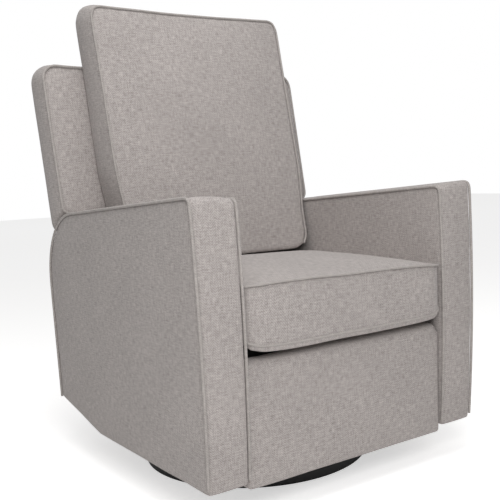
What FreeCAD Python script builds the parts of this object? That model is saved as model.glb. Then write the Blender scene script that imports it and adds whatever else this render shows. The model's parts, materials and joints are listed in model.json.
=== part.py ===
import FreeCAD, Part
import math
import os
import re
import Sketcher

# A nursery chair that glides on four hanging links, swivels on a round base, reclines and has a footrest.
# Millimetres. The origin is on the floor, on the swivel axis; +Z is up and -Y is the way the sitter faces.
# Every size that can be chosen is a cell of the sheet, and every sub-part follows those cells.

SIZES = [
    # upholstery: the two arms
    ("arm_gap", 558, "clear width between the arms"),
    ("arm_width", 102, "width of one arm"),
    ("arm_front", 392, "arm front, ahead of the swivel axis"),
    ("arm_back", 368, "arm rear face, behind the swivel axis"),
    ("arm_bottom", 86, "underside of the arm above the floor"),
    ("arm_front_top", 668, "top of the arm at its front"),
    ("arm_fall", 3.9, "slope of the arm top towards the rear, degrees"),
    ("arm_roll", 185, "radius of the arm's rear top corner"),
    ("heel_height", 136, "rear bottom corner of the arm above the floor"),
    ("heel_start", 130, "where the arm's underside starts to rise"),
    ("pad_wall", 12, "thickness of an upholstered wall"),
    ("frame_bar", 42, "depth of the timber bars inside an arm"),
    ("frame_board", 30, "width of the timber bars inside an arm"),
    ("hinge_post", 60, "width of the post that carries the recline bolt"),
    # upholstery: seat cushion and the panel under it
    ("cushion_front", 411, "front of the seat cushion"),
    ("cushion_back", 85, "rear of the seat cushion"),
    ("cushion_thick", 118, "thickness of the seat cushion at its edges"),
    ("cushion_gap", 7, "room between seat cushion and arm"),
    ("cushion_corner", 28, "corner radius of the seat cushion in plan"),
    ("panel_front", 388, "front face of the footrest panel"),
    ("panel_thick", 45, "thickness of the footrest panel"),
    ("panel_bottom", 70, "underside of the footrest panel above the floor"),
    ("panel_gap", 5, "room between footrest panel and arm"),
    ("panel_reveal", 30, "space between footrest panel and seat cushion, where its soft lip hangs"),
    ("panel_round", 18, "edge radius along the top of the panel"),
    ("board_thick", 15, "thickness of plywood boards"),
    ("board_margin", 40, "padding beyond the board at the panel's edges"),
    # upholstery: the reclining back
    ("pivot_back", 270, "recline pivot behind the swivel axis"),
    ("pivot_height", 430, "recline pivot above the floor"),
    ("back_face", 206.4, "front of the back frame at pivot height"),
    ("back_tilt", 10.32, "lean of the back at rest, degrees"),
    ("back_thick", 92, "thickness of the back frame"),
    ("back_top", 988, "top of the back frame"),
    ("back_bottom", 397, "lowest edge of the back frame"),
    ("back_gap", 5, "room between back frame and arm"),
    ("wing_gap", 6, "room between wing and arm with the back upright"),
    ("wing_inset", 3, "how far a wing stays inside the arm's outer face"),
    ("back_corner", 42, "radius of the back frame's top corners"),
    ("pillow_gap", 11, "room between back pillow and arm"),
    ("pillow_bottom", 500, "underside of the back pillow"),
    ("pillow_top", 1108, "top of the back pillow"),
    ("pillow_thick", 124, "thickness of the back pillow at its underside"),
    ("pillow_corner", 34, "corner radius of the back pillow"),
    ("pillow_lean", 1.55, "how much more the pillow's face leans than the frame, degrees"),
    # timber seat box, springs and deck
    ("rail_bottom", 280, "underside of the seat rails"),
    ("rail_depth", 70, "height of the seat rails"),
    ("rail_thick", 22, "thickness of the seat rails"),
    ("rail_reach", 330, "seat rails from the swivel axis to each end"),
    ("mechanism_room", 51, "space between seat rail and arm"),
    ("block_length", 120, "length of an arm mounting block"),
    ("wire", 4, "diameter of the seat spring wire"),
    ("wire_rise", 2, "height of the clips under the spring wire"),
    ("clip_length", 20, "length of a spring clip"),
    ("clip_width", 12, "width of a spring clip"),
    ("spring_width", 44, "width of one sinuous spring"),
    ("spring_pitch", 90, "distance from one spring to the next"),
    ("spring_loops", 14, "half loops in one spring"),
    ("deck_thick", 12, "thickness of the seat deck pad"),
    ("deck_back", 190, "rear edge of the deck pad"),
    ("rear_panel_top", 440, "top of the outside panel behind the seat"),
    ("rear_panel_thick", 20, "thickness of the outside rear panel"),
    # base and swivel
    ("base_radius", 285, "radius of the round base"),
    ("base_height", 25, "top of the base above the floor"),
    ("base_sheet", 2.5, "steel thickness of the base"),
    ("base_round", 7, "edge radius of the base"),
    ("lip_width", 28, "width of the lip under the base's rim"),
    ("floor_pad_thick", 3, "thickness of the pad under the base"),
    ("pad_inset", 1, "how far the floor pad stays inside the rim"),
    ("bearing_radius", 150, "radius of the bearing plates"),
    ("bearing_sheet", 3, "thickness of the lower bearing plate"),
    ("race_radius", 120, "outer radius of the ball race"),
    ("race_width", 22, "width of the ball race"),
    ("race_height", 5.7, "height of the ball race"),
    ("swivel_clear", 0.3, "running clearance over the ball race"),
    ("swivel_sheet", 4, "thickness of the turning plate"),
    ("king_radius", 10, "radius of the king pin"),
    ("king_clear", 0.08, "radial clearance of the king pin"),
    ("king_head", 17, "radius of the king pin's head"),
    ("king_head_height", 7, "height of the king pin's head"),
    ("bolt_radius", 4, "radius of the base bolts"),
    ("bolt_head", 7.5, "radius of the base bolts' heads"),
    ("bolt_head_height", 4, "height of the base bolts' heads"),
    ("base_bolt_circle", 136, "distance of the base bolts from the axis"),
    # glide mechanism
    ("cross_rail_at", 130, "glide cross rails, ahead of and behind the axis"),
    ("cross_rail_wide", 34, "width of a glide cross rail"),
    ("cross_rail_high", 20, "height of a glide cross rail"),
    ("tube_wall", 2, "wall of the square tubes"),
    ("side_plate_thick", 4, "thickness of the glide side plates"),
    ("side_plate_reach", 168, "half length of the glide side plates"),
    ("side_plate_edge", 16, "glide side plates above their upper pins"),
    ("plate_corner", 22, "corner radius of the glide side plates"),
    ("hanger_at", 140, "link pivots, ahead of and behind the axis"),
    ("hanger_height", 200, "upper link pivots above the floor"),
    ("glide_link", 110, "glide link, pivot to pivot"),
    ("link_thick", 5, "thickness of the glide links"),
    ("link_half", 14, "half width of the glide links"),
    ("link_space", 4, "space between a link and each plate beside it"),
    ("pin_radius", 5, "radius of the mechanism's pins"),
    ("pin_clear", 0.08, "radial clearance of a pin"),
    ("free_clear", 0.6, "radial clearance at the front links' lower pins"),
    ("pin_head", 9, "radius of the pins' heads"),
    ("pin_head_thick", 2.5, "thickness of the pins' heads"),
    ("head_clear", 0.3, "running clearance under a pin's head"),
    ("carriage_thick", 4, "thickness of the carriage plates"),
    ("carriage_edge", 16, "carriage plates below their pins"),
    ("carriage_reach", 172, "half length of the carriage plates"),
    ("carriage_lap", 40, "how far a carriage plate laps its seat rail"),
    ("carriage_corner", 10, "corner radius of the carriage plates"),
    ("stretcher_at", 100, "carriage stretchers, ahead of and behind the axis"),
    ("stretcher_height", 251, "axis of the carriage stretchers"),
    ("stretcher_radius", 11, "outer radius of the carriage stretchers"),
    # footrest mechanism
    ("foot_pivot_front", 150, "fixed footrest pivot, ahead of the swivel axis"),
    ("foot_pivot_height", 310, "fixed footrest pivot above the floor"),
    ("knee_front", 120, "folded footrest knee, ahead of the swivel axis"),
    ("knee_height", 97, "folded footrest knee above the floor"),
    ("panel_pivot_front", 325, "panel pivot, ahead of the swivel axis"),
    ("panel_pivot_height", 212, "panel pivot above the floor"),
    ("foot_plate", 4, "thickness of the footrest's fixed plates"),
    ("hanger_reach", 45, "half length of the footrest's fixed plates"),
    ("hanger_drop", 27, "half height of the footrest's fixed plates"),
    ("bracket_reach", 60, "half height of a panel bracket where it meets the panel"),
    ("bracket_nose", 14, "panel bracket beyond its pivot"),
    ("flange_thick", 3, "thickness of the panel bracket's flange"),
    ("flange_width", 31, "width of the panel bracket's flange"),
    ("foot_link", 5, "thickness of the footrest links"),
    ("foot_link_half", 12, "half width of the footrest links"),
    ("foot_gap", 2, "space between one footrest link and the next"),
    ("foot_tube_radius", 9, "radius of the footrest cross tube"),
    ("foot_tube_back", 60, "footrest cross tube from the panel pivot"),
    # back frame timber
    ("upright_thick", 30, "thickness of the back's uprights"),
    ("upright_depth", 60, "depth of the back's uprights"),
    ("back_rail_high", 60, "height of the back's cross rails"),
    ("back_rail_thick", 22, "thickness of the back's cross rails"),
    ("lower_rail_at", 470, "underside of the back's lower rail"),
    ("middle_rail_at", 690, "underside of the back's middle rail"),
    ("recline_bolt", 8, "radius of the recline bolts"),
    ("recline_bush", 11, "outer radius of the recline bushes"),
    ("web_wide", 50, "width of the back's elastic webs"),
    ("web_thick", 2.5, "thickness of the back's elastic webs"),
]

doc = FreeCAD.newDocument("NurseryGlider")
sheet = doc.addObject("Spreadsheet::Sheet", "Sizes")
for row, (alias, value, meaning) in enumerate(SIZES, 1):
    sheet.set(f"A{row}", meaning)
    sheet.set(f"B{row}", str(value))
    sheet.setAlias(f"B{row}", alias)
doc.recompute()

sub_parts = []


# ---- helpers ----------------------------------------------------------------------------------


def size(text):
    """Work out an expression of the sheet's names as a number."""
    return float(sheet.evalExpression(text))


def tied(text):
    """Write the sheet's name before each of its aliases, for use in another object's expression."""
    return re.sub(r"\b([a-z]\w*)\b(?!\()", r"Sizes.\1", text)


def bind(thing, paths):
    """Bind properties of an object to expressions of the sheet's names."""
    for path, text in paths.items():
        thing.setExpression(path, tied(text))


def keep(thing, label):
    """Name an object as a sub-part that is written to its own file."""
    thing.Label = label
    sub_parts.append(thing)
    return thing


def box(name, along_x, along_y, along_z):
    """A Part box between pairs of expressions along X, Y and Z."""
    block = doc.addObject("Part::Box", name)
    for edge, axis, (low, high) in zip(("Length", "Width", "Height"), "xyz", (along_x, along_y, along_z)):
        bind(block, {edge: f"({high}) - ({low})", f"Placement.Base.{axis}": low})
    return block


TURNS = {
    "X": FreeCAD.Rotation(FreeCAD.Vector(0, 1, 0), 90),
    "Y": FreeCAD.Rotation(FreeCAD.Vector(1, 0, 0), -90),
    "Z": FreeCAD.Rotation(),
}


def rod(name, axis, start, radius, length):
    """A Part cylinder from a start point, running along +X, +Y or +Z."""
    cylinder = doc.addObject("Part::Cylinder", name)
    cylinder.Placement.Rotation = TURNS[axis]
    bind(cylinder, {"Radius": radius, "Height": length})
    bind(cylinder, {f"Placement.Base.{letter}": text for letter, text in zip("xyz", start)})
    return cylinder


def joined(name, pieces):
    """One solid from touching pieces."""
    union = doc.addObject("Part::MultiFuse", name)
    union.Shapes = pieces
    return union


def cut(name, base, tool):
    """A piece with another taken out of it."""
    difference = doc.addObject("Part::Cut", name)
    difference.Base = base
    difference.Tool = tool
    return difference


def group(name, pieces):
    """Separate solids that are kept together as one sub-part."""
    compound = doc.addObject("Part::Compound", name)
    compound.Links = pieces
    return compound


def mirrored(piece, name):
    """The same piece on the chair's other side."""
    copy = doc.addObject("Part::Mirroring", name)
    copy.Source = piece
    copy.Normal = FreeCAD.Vector(1, 0, 0)
    return copy


def keep_pair(left, name):
    """Keep a left piece and its mirror image on the right."""
    keep(left, f"{name}_left")
    return keep(mirrored(left, f"{name}_mirror"), f"{name}_right")


def sketch_in(body, name, role, offset="0"):
    """A sketch on one of the body's own origin planes, moved along that plane's normal."""
    sketch = body.newObject("Sketcher::SketchObject", name)
    plane = next(item for item in body.Origin.OriginFeatures if item.Role == role)
    sketch.AttachmentSupport = [(plane, "")]
    sketch.MapMode = "FlatFace"
    bind(sketch, {"AttachmentOffset.Base.z": offset})
    return sketch


def fix_point(sketch, edge, end, across, up):
    """Hold a point of a sketch at expressions measured from the sketch's origin."""
    for kind, text in (("DistanceX", across), ("DistanceY", up)):
        if text is not None:
            index = sketch.addConstraint(Sketcher.Constraint(kind, -1, 1, edge, end, size(text)))
            bind(sketch, {f"Constraints[{index}]": text})


def add_outline(sketch, corners):
    """Close a chain of straight edges through corners given as pairs of expressions."""
    first = sketch.GeometryCount
    count = len(corners)
    points = [FreeCAD.Vector(size(across), size(up), 0) for across, up in corners]
    for index in range(count):
        sketch.addGeometry(Part.LineSegment(points[index], points[(index + 1) % count]))
    for index in range(count):
        following = first + (index + 1) % count
        sketch.addConstraint(Sketcher.Constraint("Coincident", first + index, 2, following, 1))
    for index, (across, up) in enumerate(corners):
        fix_point(sketch, first + index, 1, across, up)


def add_circle(sketch, across, up, radius):
    """A circle whose centre and radius follow the sheet."""
    centre = FreeCAD.Vector(size(across), size(up), 0)
    edge = sketch.addGeometry(Part.Circle(centre, FreeCAD.Vector(0, 0, 1), size(radius)))
    fix_point(sketch, edge, 3, across, up)
    index = sketch.addConstraint(Sketcher.Constraint("Radius", edge, size(radius)))
    bind(sketch, {f"Constraints[{index}]": radius})


def side_pad(body, name, corners, low_x, high_x, holes=()):
    """Pad a side outline, given as (y, z) corners and holes, from one X to another."""
    sketch = sketch_in(body, f"{name}_outline", "YZ_Plane", low_x)
    add_outline(sketch, corners)
    for across, up, radius in holes:
        add_circle(sketch, across, up, radius)
    pad = body.newObject("PartDesign::Pad", f"{name}_pad")
    pad.Profile = sketch
    bind(pad, {"Length": f"({high_x}) - ({low_x})"})
    doc.recompute()
    return pad


def rounded(body, feature, name, radius, picks):
    """Fillet the edges of a feature whose two ends pass a test; a full circle has one end twice."""
    edges = []
    for index, edge in enumerate(feature.Shape.Edges, 1):
        if picks(edge.Vertexes[0].Point, edge.Vertexes[-1].Point):
            edges.append(f"Edge{index}")
    fillet = body.newObject("PartDesign::Fillet", name)
    fillet.Base = (feature, edges)
    bind(fillet, {"Radius": radius})
    doc.recompute()
    return fillet


def runs_along(axis):
    """A test for edges that run straight along one axis: 0 is X, 1 is Y, 2 is Z."""

    def test(a, b):
        moved = [abs(a[index] - b[index]) > 0.001 for index in range(3)]
        return moved == [index == axis for index in range(3)]

    return test


def plate(name, corners, holes, low_x, high_x, rounding):
    """A flat plate seen from the side, with bored holes and rounded corners."""
    body = doc.addObject("PartDesign::Body", name)
    pad = side_pad(body, name, corners, low_x, high_x, holes)
    rounded(body, pad, f"{name}_rounding", rounding, runs_along(0))
    return body


def link(name, start, end, half, low_x, high_x, bores):
    """A flat link with rounded ends, from one pivot to another, bored at each."""
    run_y = f"(({end[0]}) - ({start[0]}))"
    run_z = f"(({end[1]}) - ({start[1]}))"
    length = f"sqrt({run_y} ^ 2 + {run_z} ^ 2)"
    corners = [
        (f"-({half})", f"-({half})"),
        (f"{length} + {half}", f"-({half})"),
        (f"{length} + {half}", half),
        (f"-({half})", half),
    ]
    holes = [("0", "0", bores[0]), (length, "0", bores[1])]
    body = plate(name, corners, holes, low_x, high_x, f"{half} * 0.98")
    turn = math.degrees(math.atan2(size(run_z), size(run_y)))
    body.Placement.Rotation = FreeCAD.Rotation(FreeCAD.Vector(1, 0, 0), turn)
    bind(body, {"Placement.Base.y": start[0], "Placement.Base.z": start[1]})
    bind(body, {"Placement.Rotation.Angle": f"atan2({run_z}; {run_y})"})
    return body


def turned(name, corners):
    """A ring or disc turned about the swivel axis from an outline of (radius, height) corners."""
    body = doc.addObject("PartDesign::Body", name)
    sketch = sketch_in(body, f"{name}_outline", "XZ_Plane")
    add_outline(sketch, corners)
    revolution = body.newObject("PartDesign::Revolution", f"{name}_turning")
    revolution.Profile = sketch
    revolution.ReferenceAxis = (sketch, ["V_Axis"])
    revolution.Angle = 360
    doc.recompute()
    return body


def four_corners(name, radius, height_from, length, reach_x, reach_y):
    """Four upright cylinders at the corners of a rectangle about the swivel axis."""
    rods = []
    for sign_x in ("-", ""):
        for sign_y in ("-", ""):
            start = (f"{sign_x}({reach_x})", f"{sign_y}({reach_y})", height_from)
            rods.append(rod(name, "Z", start, radius, length))
    return rods


# ---- round base and swivel --------------------------------------------------------------------

# a shallow steel dish with a lip turned in under its rim, closed below by a rubber pad
lip_inner = "base_radius - lip_width"
pad_radius = "base_radius - pad_inset"
pad_outline = [("0", "0"), (pad_radius, "0"), (pad_radius, "floor_pad_thick"), ("0", "floor_pad_thick")]
keep(turned("FloorPad", pad_outline), "floor_pad")

dish = turned(
    "BaseDish",
    [
        (lip_inner, "floor_pad_thick"),
        ("base_radius", "floor_pad_thick"),
        ("base_radius", "base_height"),
        ("0", "base_height"),
        ("0", "base_height - base_sheet"),
        ("base_radius - base_sheet", "base_height - base_sheet"),
        ("base_radius - base_sheet", "floor_pad_thick + base_sheet"),
        (lip_inner, "floor_pad_thick + base_sheet"),
    ],
)


def on_rim(a, b):
    """A test for the edge round the top of the dish."""
    return all(p.x > size("base_radius") - 0.01 and p.z > size("base_height") - 0.01 for p in (a, b))


rounded(dish, dish.Tip, "DishEdge", "base_round", on_rim)

bolt_reach = "base_bolt_circle * 0.7071"
lower_top = "base_height + bearing_sheet"
bore_length = "base_height + bearing_sheet"
hole_rods = four_corners("BoltHole", "bolt_radius", "floor_pad_thick", bore_length, bolt_reach, bolt_reach)
bolt_holes = group("BaseBoltHoles", hole_rods)
keep(cut("BaseDisc", dish, bolt_holes), "base_disc")

plate_outline = [
    ("0", "base_height"),
    ("bearing_radius", "base_height"),
    ("bearing_radius", lower_top),
    ("0", lower_top),
]
lower_plate = turned("LowerPlate", plate_outline)
keep(cut("LowerBearingPlate", lower_plate, bolt_holes), "lower_bearing_plate")

shank_bottom = "base_height - base_sheet * 2"
shank_length = "base_sheet * 2 + bearing_sheet"
shanks = four_corners("BaseBoltShank", "bolt_radius", shank_bottom, shank_length, bolt_reach, bolt_reach)
heads = four_corners("BaseBoltHead", "bolt_head", lower_top, "bolt_head_height", bolt_reach, bolt_reach)
keep(group("BaseBolts", [joined("BaseBolt", pair) for pair in zip(shanks, heads)]), "base_bolts")

race_top = f"{lower_top} + race_height"
race_inner = "race_radius - race_width"
race_outline = [
    (race_inner, lower_top),
    ("race_radius", lower_top),
    ("race_radius", race_top),
    (race_inner, race_top),
]
keep(turned("BallRace", race_outline), "ball_race")

swivel_bottom = f"{race_top} + swivel_clear"
swivel_top = f"{swivel_bottom} + swivel_sheet"
king_top = f"{swivel_top} + swivel_clear + king_head_height"
keep(
    turned(
        "KingPin",
        [
            ("0", lower_top),
            ("king_radius", lower_top),
            ("king_radius", f"{swivel_top} + swivel_clear"),
            ("king_head", f"{swivel_top} + swivel_clear"),
            ("king_head", king_top),
            ("0", king_top),
        ],
    ),
    "king_pin",
)

king_bore = "king_radius + king_clear"
keep(
    turned(
        "SwivelPlate",
        [
            (king_bore, swivel_bottom),
            ("bearing_radius", swivel_bottom),
            ("bearing_radius", swivel_top),
            (king_bore, swivel_top),
        ],
    ),
    "swivel_plate",
)

# ---- glide frame that turns with the chair ----------------------------------------------------

# the glide is as wide as the seat rails allow: the carriage plates lie against the rails' inner faces,
# and the links and the side plates follow inside them
rail_inner = "arm_gap / 2 - mechanism_room - rail_thick"
rail_outer = "arm_gap / 2 - mechanism_room"
carriage_outer = f"({rail_inner})"
carriage_inner = f"({carriage_outer} - carriage_thick)"
link_outer = f"({carriage_inner} - link_space)"
link_inner = f"({link_outer} - link_thick)"
side_outer = f"({link_inner} - link_space)"
side_inner = f"({side_outer} - side_plate_thick)"
rail_top = f"{swivel_top} + cross_rail_high"
for name, sign in (("front", "-"), ("rear", "")):
    middle = f"{sign}cross_rail_at"
    half_wide = "cross_rail_wide / 2"
    outside = box(
        f"{name}_rail_outside",
        (f"-{side_inner}", side_inner),
        (f"{middle} - {half_wide}", f"{middle} + {half_wide}"),
        (swivel_top, rail_top),
    )
    hollow = box(
        f"{name}_rail_hollow",
        (f"-{side_inner} - 1", f"{side_inner} + 1"),
        (f"{middle} - {half_wide} + tube_wall", f"{middle} + {half_wide} - tube_wall"),
        (f"{swivel_top} + tube_wall", f"{rail_top} - tube_wall"),
    )
    keep(cut(f"{name}_cross_rail", outside, hollow), f"{name}_cross_rail")

top_pivots = [("-hanger_at", "hanger_height"), ("hanger_at", "hanger_height")]
lower_height = "hanger_height - glide_link"
low_pivots = [("-hanger_at", lower_height), ("hanger_at", lower_height)]
pin_bore = "pin_radius + pin_clear"

side_plate = plate(
    "GlideSidePlate",
    [
        ("-side_plate_reach", swivel_top),
        ("side_plate_reach", swivel_top),
        ("side_plate_reach", "hanger_height + side_plate_edge"),
        ("-side_plate_reach", "hanger_height + side_plate_edge"),
    ],
    [(y, z, "pin_radius") for y, z in top_pivots],
    f"-({side_outer})",
    f"-{side_inner}",
    "plate_corner",
)
keep_pair(side_plate, "glide_side_plate")


def headed_pin(name, sign, pivot, inner_x, outer_x, head_low_x, far_head_x=None):
    """A pin along X between two distances from the middle, with a head at one or both ends."""
    y, z = pivot
    length = f"({outer_x}) - ({inner_x})"
    low = f"-({outer_x})" if sign == "-" else inner_x
    solids = [rod(f"{name}_shank", "X", (low, y, z), "pin_radius", length)]
    for head in (head_low_x, far_head_x):
        if head is not None:
            low = f"-({head}) - pin_head_thick" if sign == "-" else head
            solids.append(rod(f"{name}_head", "X", (low, y, z), "pin_head", "pin_head_thick"))
    return joined(name, solids)


# the upper pins are fixed in the side plates and carry the links
top_pins = [
    headed_pin(
        "GlideTopPin",
        sign,
        pivot,
        f"{side_inner} - pin_head_thick",
        f"{link_outer} + head_clear + pin_head_thick",
        f"{side_inner} - pin_head_thick",
        f"{link_outer} + head_clear",
    )
    for sign in ("-", "")
    for pivot in top_pivots
]
keep(group("GlideTopPins", top_pins), "glide_top_pins")

for name, top, low, low_bore in (
    ("front_glide_link", top_pivots[0], low_pivots[0], "pin_radius + free_clear"),
    ("rear_glide_link", top_pivots[1], low_pivots[1], pin_bore),
):
    bores = (pin_bore, low_bore)
    glide_link = link(name, top, low, "link_half", f"-({link_outer})", f"-({link_inner})", bores)
    keep_pair(glide_link, name)

# ---- carriage under the seat ------------------------------------------------------------------

rails_top = "rail_bottom + rail_depth"
carriage_plate = plate(
    "CarriagePlate",
    [
        ("-carriage_reach", f"{lower_height} - carriage_edge"),
        ("carriage_reach", f"{lower_height} - carriage_edge"),
        ("carriage_reach", "rail_bottom + carriage_lap"),
        ("-carriage_reach", "rail_bottom + carriage_lap"),
    ],
    [(y, z, "pin_radius") for y, z in low_pivots],
    f"-({carriage_outer})",
    f"-({carriage_inner})",
    "carriage_corner",
)
keep_pair(carriage_plate, "carriage_plate")

low_pins = [
    headed_pin(
        "GlideLowPin",
        sign,
        pivot,
        f"{link_inner} - head_clear - pin_head_thick",
        f"{carriage_outer} + pin_head_thick",
        f"{link_inner} - head_clear - pin_head_thick",
        carriage_outer,
    )
    for sign in ("-", "")
    for pivot in low_pivots
]
keep(group("GlideLowPins", low_pins), "glide_low_pins")

stretchers = []
for sign in ("-", ""):
    start = (f"-({carriage_inner})", f"{sign}stretcher_at", "stretcher_height")
    length = f"({carriage_inner}) * 2"
    tube = rod("StretcherOutside", "X", start, "stretcher_radius", length)
    bore = rod("StretcherBore", "X", start, "stretcher_radius - tube_wall", length)
    stretchers.append(cut("Stretcher", tube, bore))
keep(group("CarriageStretchers", stretchers), "carriage_stretchers")

# ---- timber seat box --------------------------------------------------------------------------

# the side rails are bolted against the outer faces of the carriage plates
side_rail = box(
    "SideRailBlank",
    (f"-({rail_outer})", f"-({rail_inner})"),
    ("-rail_reach", "rail_reach"),
    ("rail_bottom", rails_top),
)
keep_pair(side_rail, "side_rail")
for name, low, high in (
    ("front_rail", "-rail_reach", "-rail_reach + rail_thick"),
    ("rear_rail", "rail_reach - rail_thick", "rail_reach"),
):
    keep(box(name, (f"-({rail_inner})", rail_inner), (low, high), ("rail_bottom", rails_top)), name)

blocks = [
    box(
        f"{name}_block",
        ("-arm_gap / 2", f"-({rail_outer})"),
        (low, f"{low} + block_length"),
        ("rail_bottom", rails_top),
    )
    for name, low in (("middle", "-block_length / 2"), ("rear", "rail_reach - block_length"))
]
keep_pair(group("ArmBlocks", blocks), "arm_blocks")


def sinuous_wire(middle_x):
    """One zigzag spring: half loops of wire from the front rail to the rear rail."""
    radius = size("wire") / 2
    height = size(rails_top) + size("wire_rise") + radius
    start = -size("rail_reach") + size("rail_thick") / 2
    loops = int(size("spring_loops"))
    step = 2 * abs(start) / loops
    bend = step / 2
    reach = size("spring_width") / 2 - bend
    edges = []
    for index in range(loops):
        y = start + index * step
        side = 1 if index % 2 == 0 else -1
        enter = FreeCAD.Vector(middle_x - side * reach, y, height)
        turn = FreeCAD.Vector(middle_x + side * reach, y, height)
        if index == 0:
            enter = FreeCAD.Vector(middle_x, y, height)
        edges.append(Part.LineSegment(enter, turn).toShape())
        outer = FreeCAD.Vector(turn.x + side * bend, y + bend, height)
        leave = FreeCAD.Vector(turn.x, y + step, height)
        edges.append(Part.Arc(turn, outer, leave).toShape())
    last = edges[-1].Vertexes[-1].Point
    edges.append(Part.LineSegment(last, FreeCAD.Vector(middle_x, last.y, height)).toShape())
    path = Part.Wire(edges)
    section = Part.makeCircle(radius, FreeCAD.Vector(middle_x, start, height), FreeCAD.Vector(1, 0, 0))
    profile = Part.Wire(section)
    return path.makePipeShell([profile], True, False)


def spring_clip(middle_x, sign):
    """The clip that holds one end of a spring on its rail."""
    corner_x = middle_x - size("clip_length") / 2
    corner_y = sign * (size("rail_reach") - size("rail_thick") / 2) - size("clip_width") / 2
    corner = FreeCAD.Vector(corner_x, corner_y, size(rails_top))
    return Part.makeBox(size("clip_length"), size("clip_width"), size("wire_rise"), corner)


springs = doc.addObject("Part::Feature", "SeatSprings")
spring_middles = [index * size("spring_pitch") for index in (-2, -1, 0, 1, 2)]
spring_solids = [sinuous_wire(middle) for middle in spring_middles]
spring_solids += [spring_clip(middle, sign) for middle in spring_middles for sign in (-1, 1)]
springs.Shape = Part.makeCompound(spring_solids)
springs.Placement = FreeCAD.Placement()
keep(springs, "seat_springs")

deck_bottom = f"{rails_top} + wire_rise + wire + 1"
deck_top = f"{deck_bottom} + deck_thick + 1"
cushion_half = "arm_gap / 2 - cushion_gap"
deck = box(
    "SeatDeck",
    (f"-({cushion_half})", cushion_half),
    ("-rail_reach", "deck_back"),
    (deck_bottom, f"{deck_bottom} + deck_thick"),
)
keep(deck, "seat_deck")

# ---- seat cushion and outside rear panel ------------------------------------------------------

cushion = doc.addObject("PartDesign::Body", "SeatCushion")
cushion_pad = side_pad(
    cushion,
    "Cushion",
    [
        ("-cushion_front", deck_top),
        ("cushion_back", deck_top),
        ("cushion_back", f"{deck_top} + cushion_thick"),
        ("-cushion_front", f"{deck_top} + cushion_thick"),
    ],
    f"-({cushion_half})",
    cushion_half,
)
rounded(cushion, cushion_pad, "CushionCorners", "cushion_corner", runs_along(2))
keep(cushion, "seat_cushion")

rear_panel = box(
    "RearPanel",
    ("-arm_gap / 2", "arm_gap / 2"),
    ("arm_back - rear_panel_thick", "arm_back"),
    ("heel_height", "rear_panel_top"),
)
keep(rear_panel, "rear_panel")

# ---- arms -------------------------------------------------------------------------------------

# the rear top corner is an arc that meets the sloping top and the rear face without a step
arm_sink = "tan(arm_fall)"
roll_y = "(arm_back - arm_roll)"
roll_z = f"(arm_front_top - {arm_sink} * ({roll_y} + arm_front) - arm_roll / cos(arm_fall))"


def arm_solid(name, inset, low_x, high_x):
    """The side shape of an arm, all its faces moved in by an inset, between two X values."""
    body = doc.addObject("PartDesign::Body", name)
    sketch = sketch_in(body, f"{name}_outline", "YZ_Plane", low_x)
    radius = f"(arm_roll - ({inset}))"
    tangent_y = f"{roll_y} + {radius} * sin(arm_fall)"
    tangent_z = f"{roll_z} + {radius} * cos(arm_fall)"
    rear_y = f"arm_back - ({inset})"
    front_z = f"{tangent_z} + {arm_sink} * (arm_front - ({inset}) + {tangent_y})"
    corners = [
        (f"-(arm_front - ({inset}))", f"arm_bottom + {inset}"),
        ("heel_start", f"arm_bottom + {inset}"),
        (rear_y, f"heel_height + {inset}"),
        (rear_y, roll_z),
        (tangent_y, tangent_z),
        (f"-(arm_front - ({inset}))", front_z),
    ]
    points = [FreeCAD.Vector(size(across), size(up), 0) for across, up in corners]
    centre = FreeCAD.Vector(size(roll_y), size(roll_z), 0)
    count = len(points)
    rear_corner = 3
    for index in range(count):
        start, end = points[index], points[(index + 1) % count]
        if index == rear_corner:
            angles = [math.atan2(point.y - centre.y, point.x - centre.x) for point in (start, end)]
            circle = Part.Circle(centre, FreeCAD.Vector(0, 0, 1), size(radius))
            sketch.addGeometry(Part.ArcOfCircle(circle, *angles))
        else:
            sketch.addGeometry(Part.LineSegment(start, end))
    for index in range(count):
        sketch.addConstraint(Sketcher.Constraint("Coincident", index, 2, (index + 1) % count, 1))
    for index, (across, up) in enumerate(corners):
        fix_point(sketch, index, 1, None if index == rear_corner else across, up)
    fix_point(sketch, rear_corner, 3, roll_y, roll_z)
    pad = body.newObject("PartDesign::Pad", f"{name}_pad")
    pad.Profile = sketch
    bind(pad, {"Length": f"({high_x}) - ({low_x})"})
    doc.recompute()
    return body


arm_inner = "arm_gap / 2"
arm_outer = "arm_gap / 2 + arm_width"
arm_middle = "arm_gap / 2 + arm_width / 2"
outside = arm_solid("ArmOutside", "0", f"-({arm_outer})", f"-({arm_inner})")
inside = arm_solid("ArmInside", "pad_wall", f"-({arm_outer}) + pad_wall", f"-({arm_inner}) - pad_wall")
bolt_hole = rod(
    "ReclineBoltHole",
    "X",
    (f"-({arm_middle})", "pivot_back", "pivot_height"),
    "recline_bolt",
    f"({arm_middle}) - ({arm_inner}) + 1",
)
keep_pair(cut("ArmShellBored", cut("ArmShell", outside, inside), bolt_hole), "arm_shell")

board_low = f"-({arm_middle}) - frame_board / 2"
board_high = f"-({arm_middle}) + frame_board / 2"
frame_outside = arm_solid("ArmFrameOutside", "pad_wall", board_low, board_high)
frame_inside = arm_solid("ArmFrameInside", "pad_wall + frame_bar", f"{board_low} - 1", f"{board_high} + 1")
post_rear = "pivot_back + hinge_post / 2"
post_top = f"{roll_z} + sqrt((arm_roll - pad_wall - frame_bar / 2) ^ 2 - ({post_rear} - {roll_y}) ^ 2)"
post = box(
    "HingePost",
    (board_low, board_high),
    ("pivot_back - hinge_post / 2", post_rear),
    ("heel_height + pad_wall", post_top),
)
frame_ring = cut("ArmFrameRing", frame_outside, frame_inside)
keep_pair(cut("ArmFrame", joined("ArmFrameWhole", [frame_ring, post]), bolt_hole), "arm_frame")

# ---- reclining back ---------------------------------------------------------------------------

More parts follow.
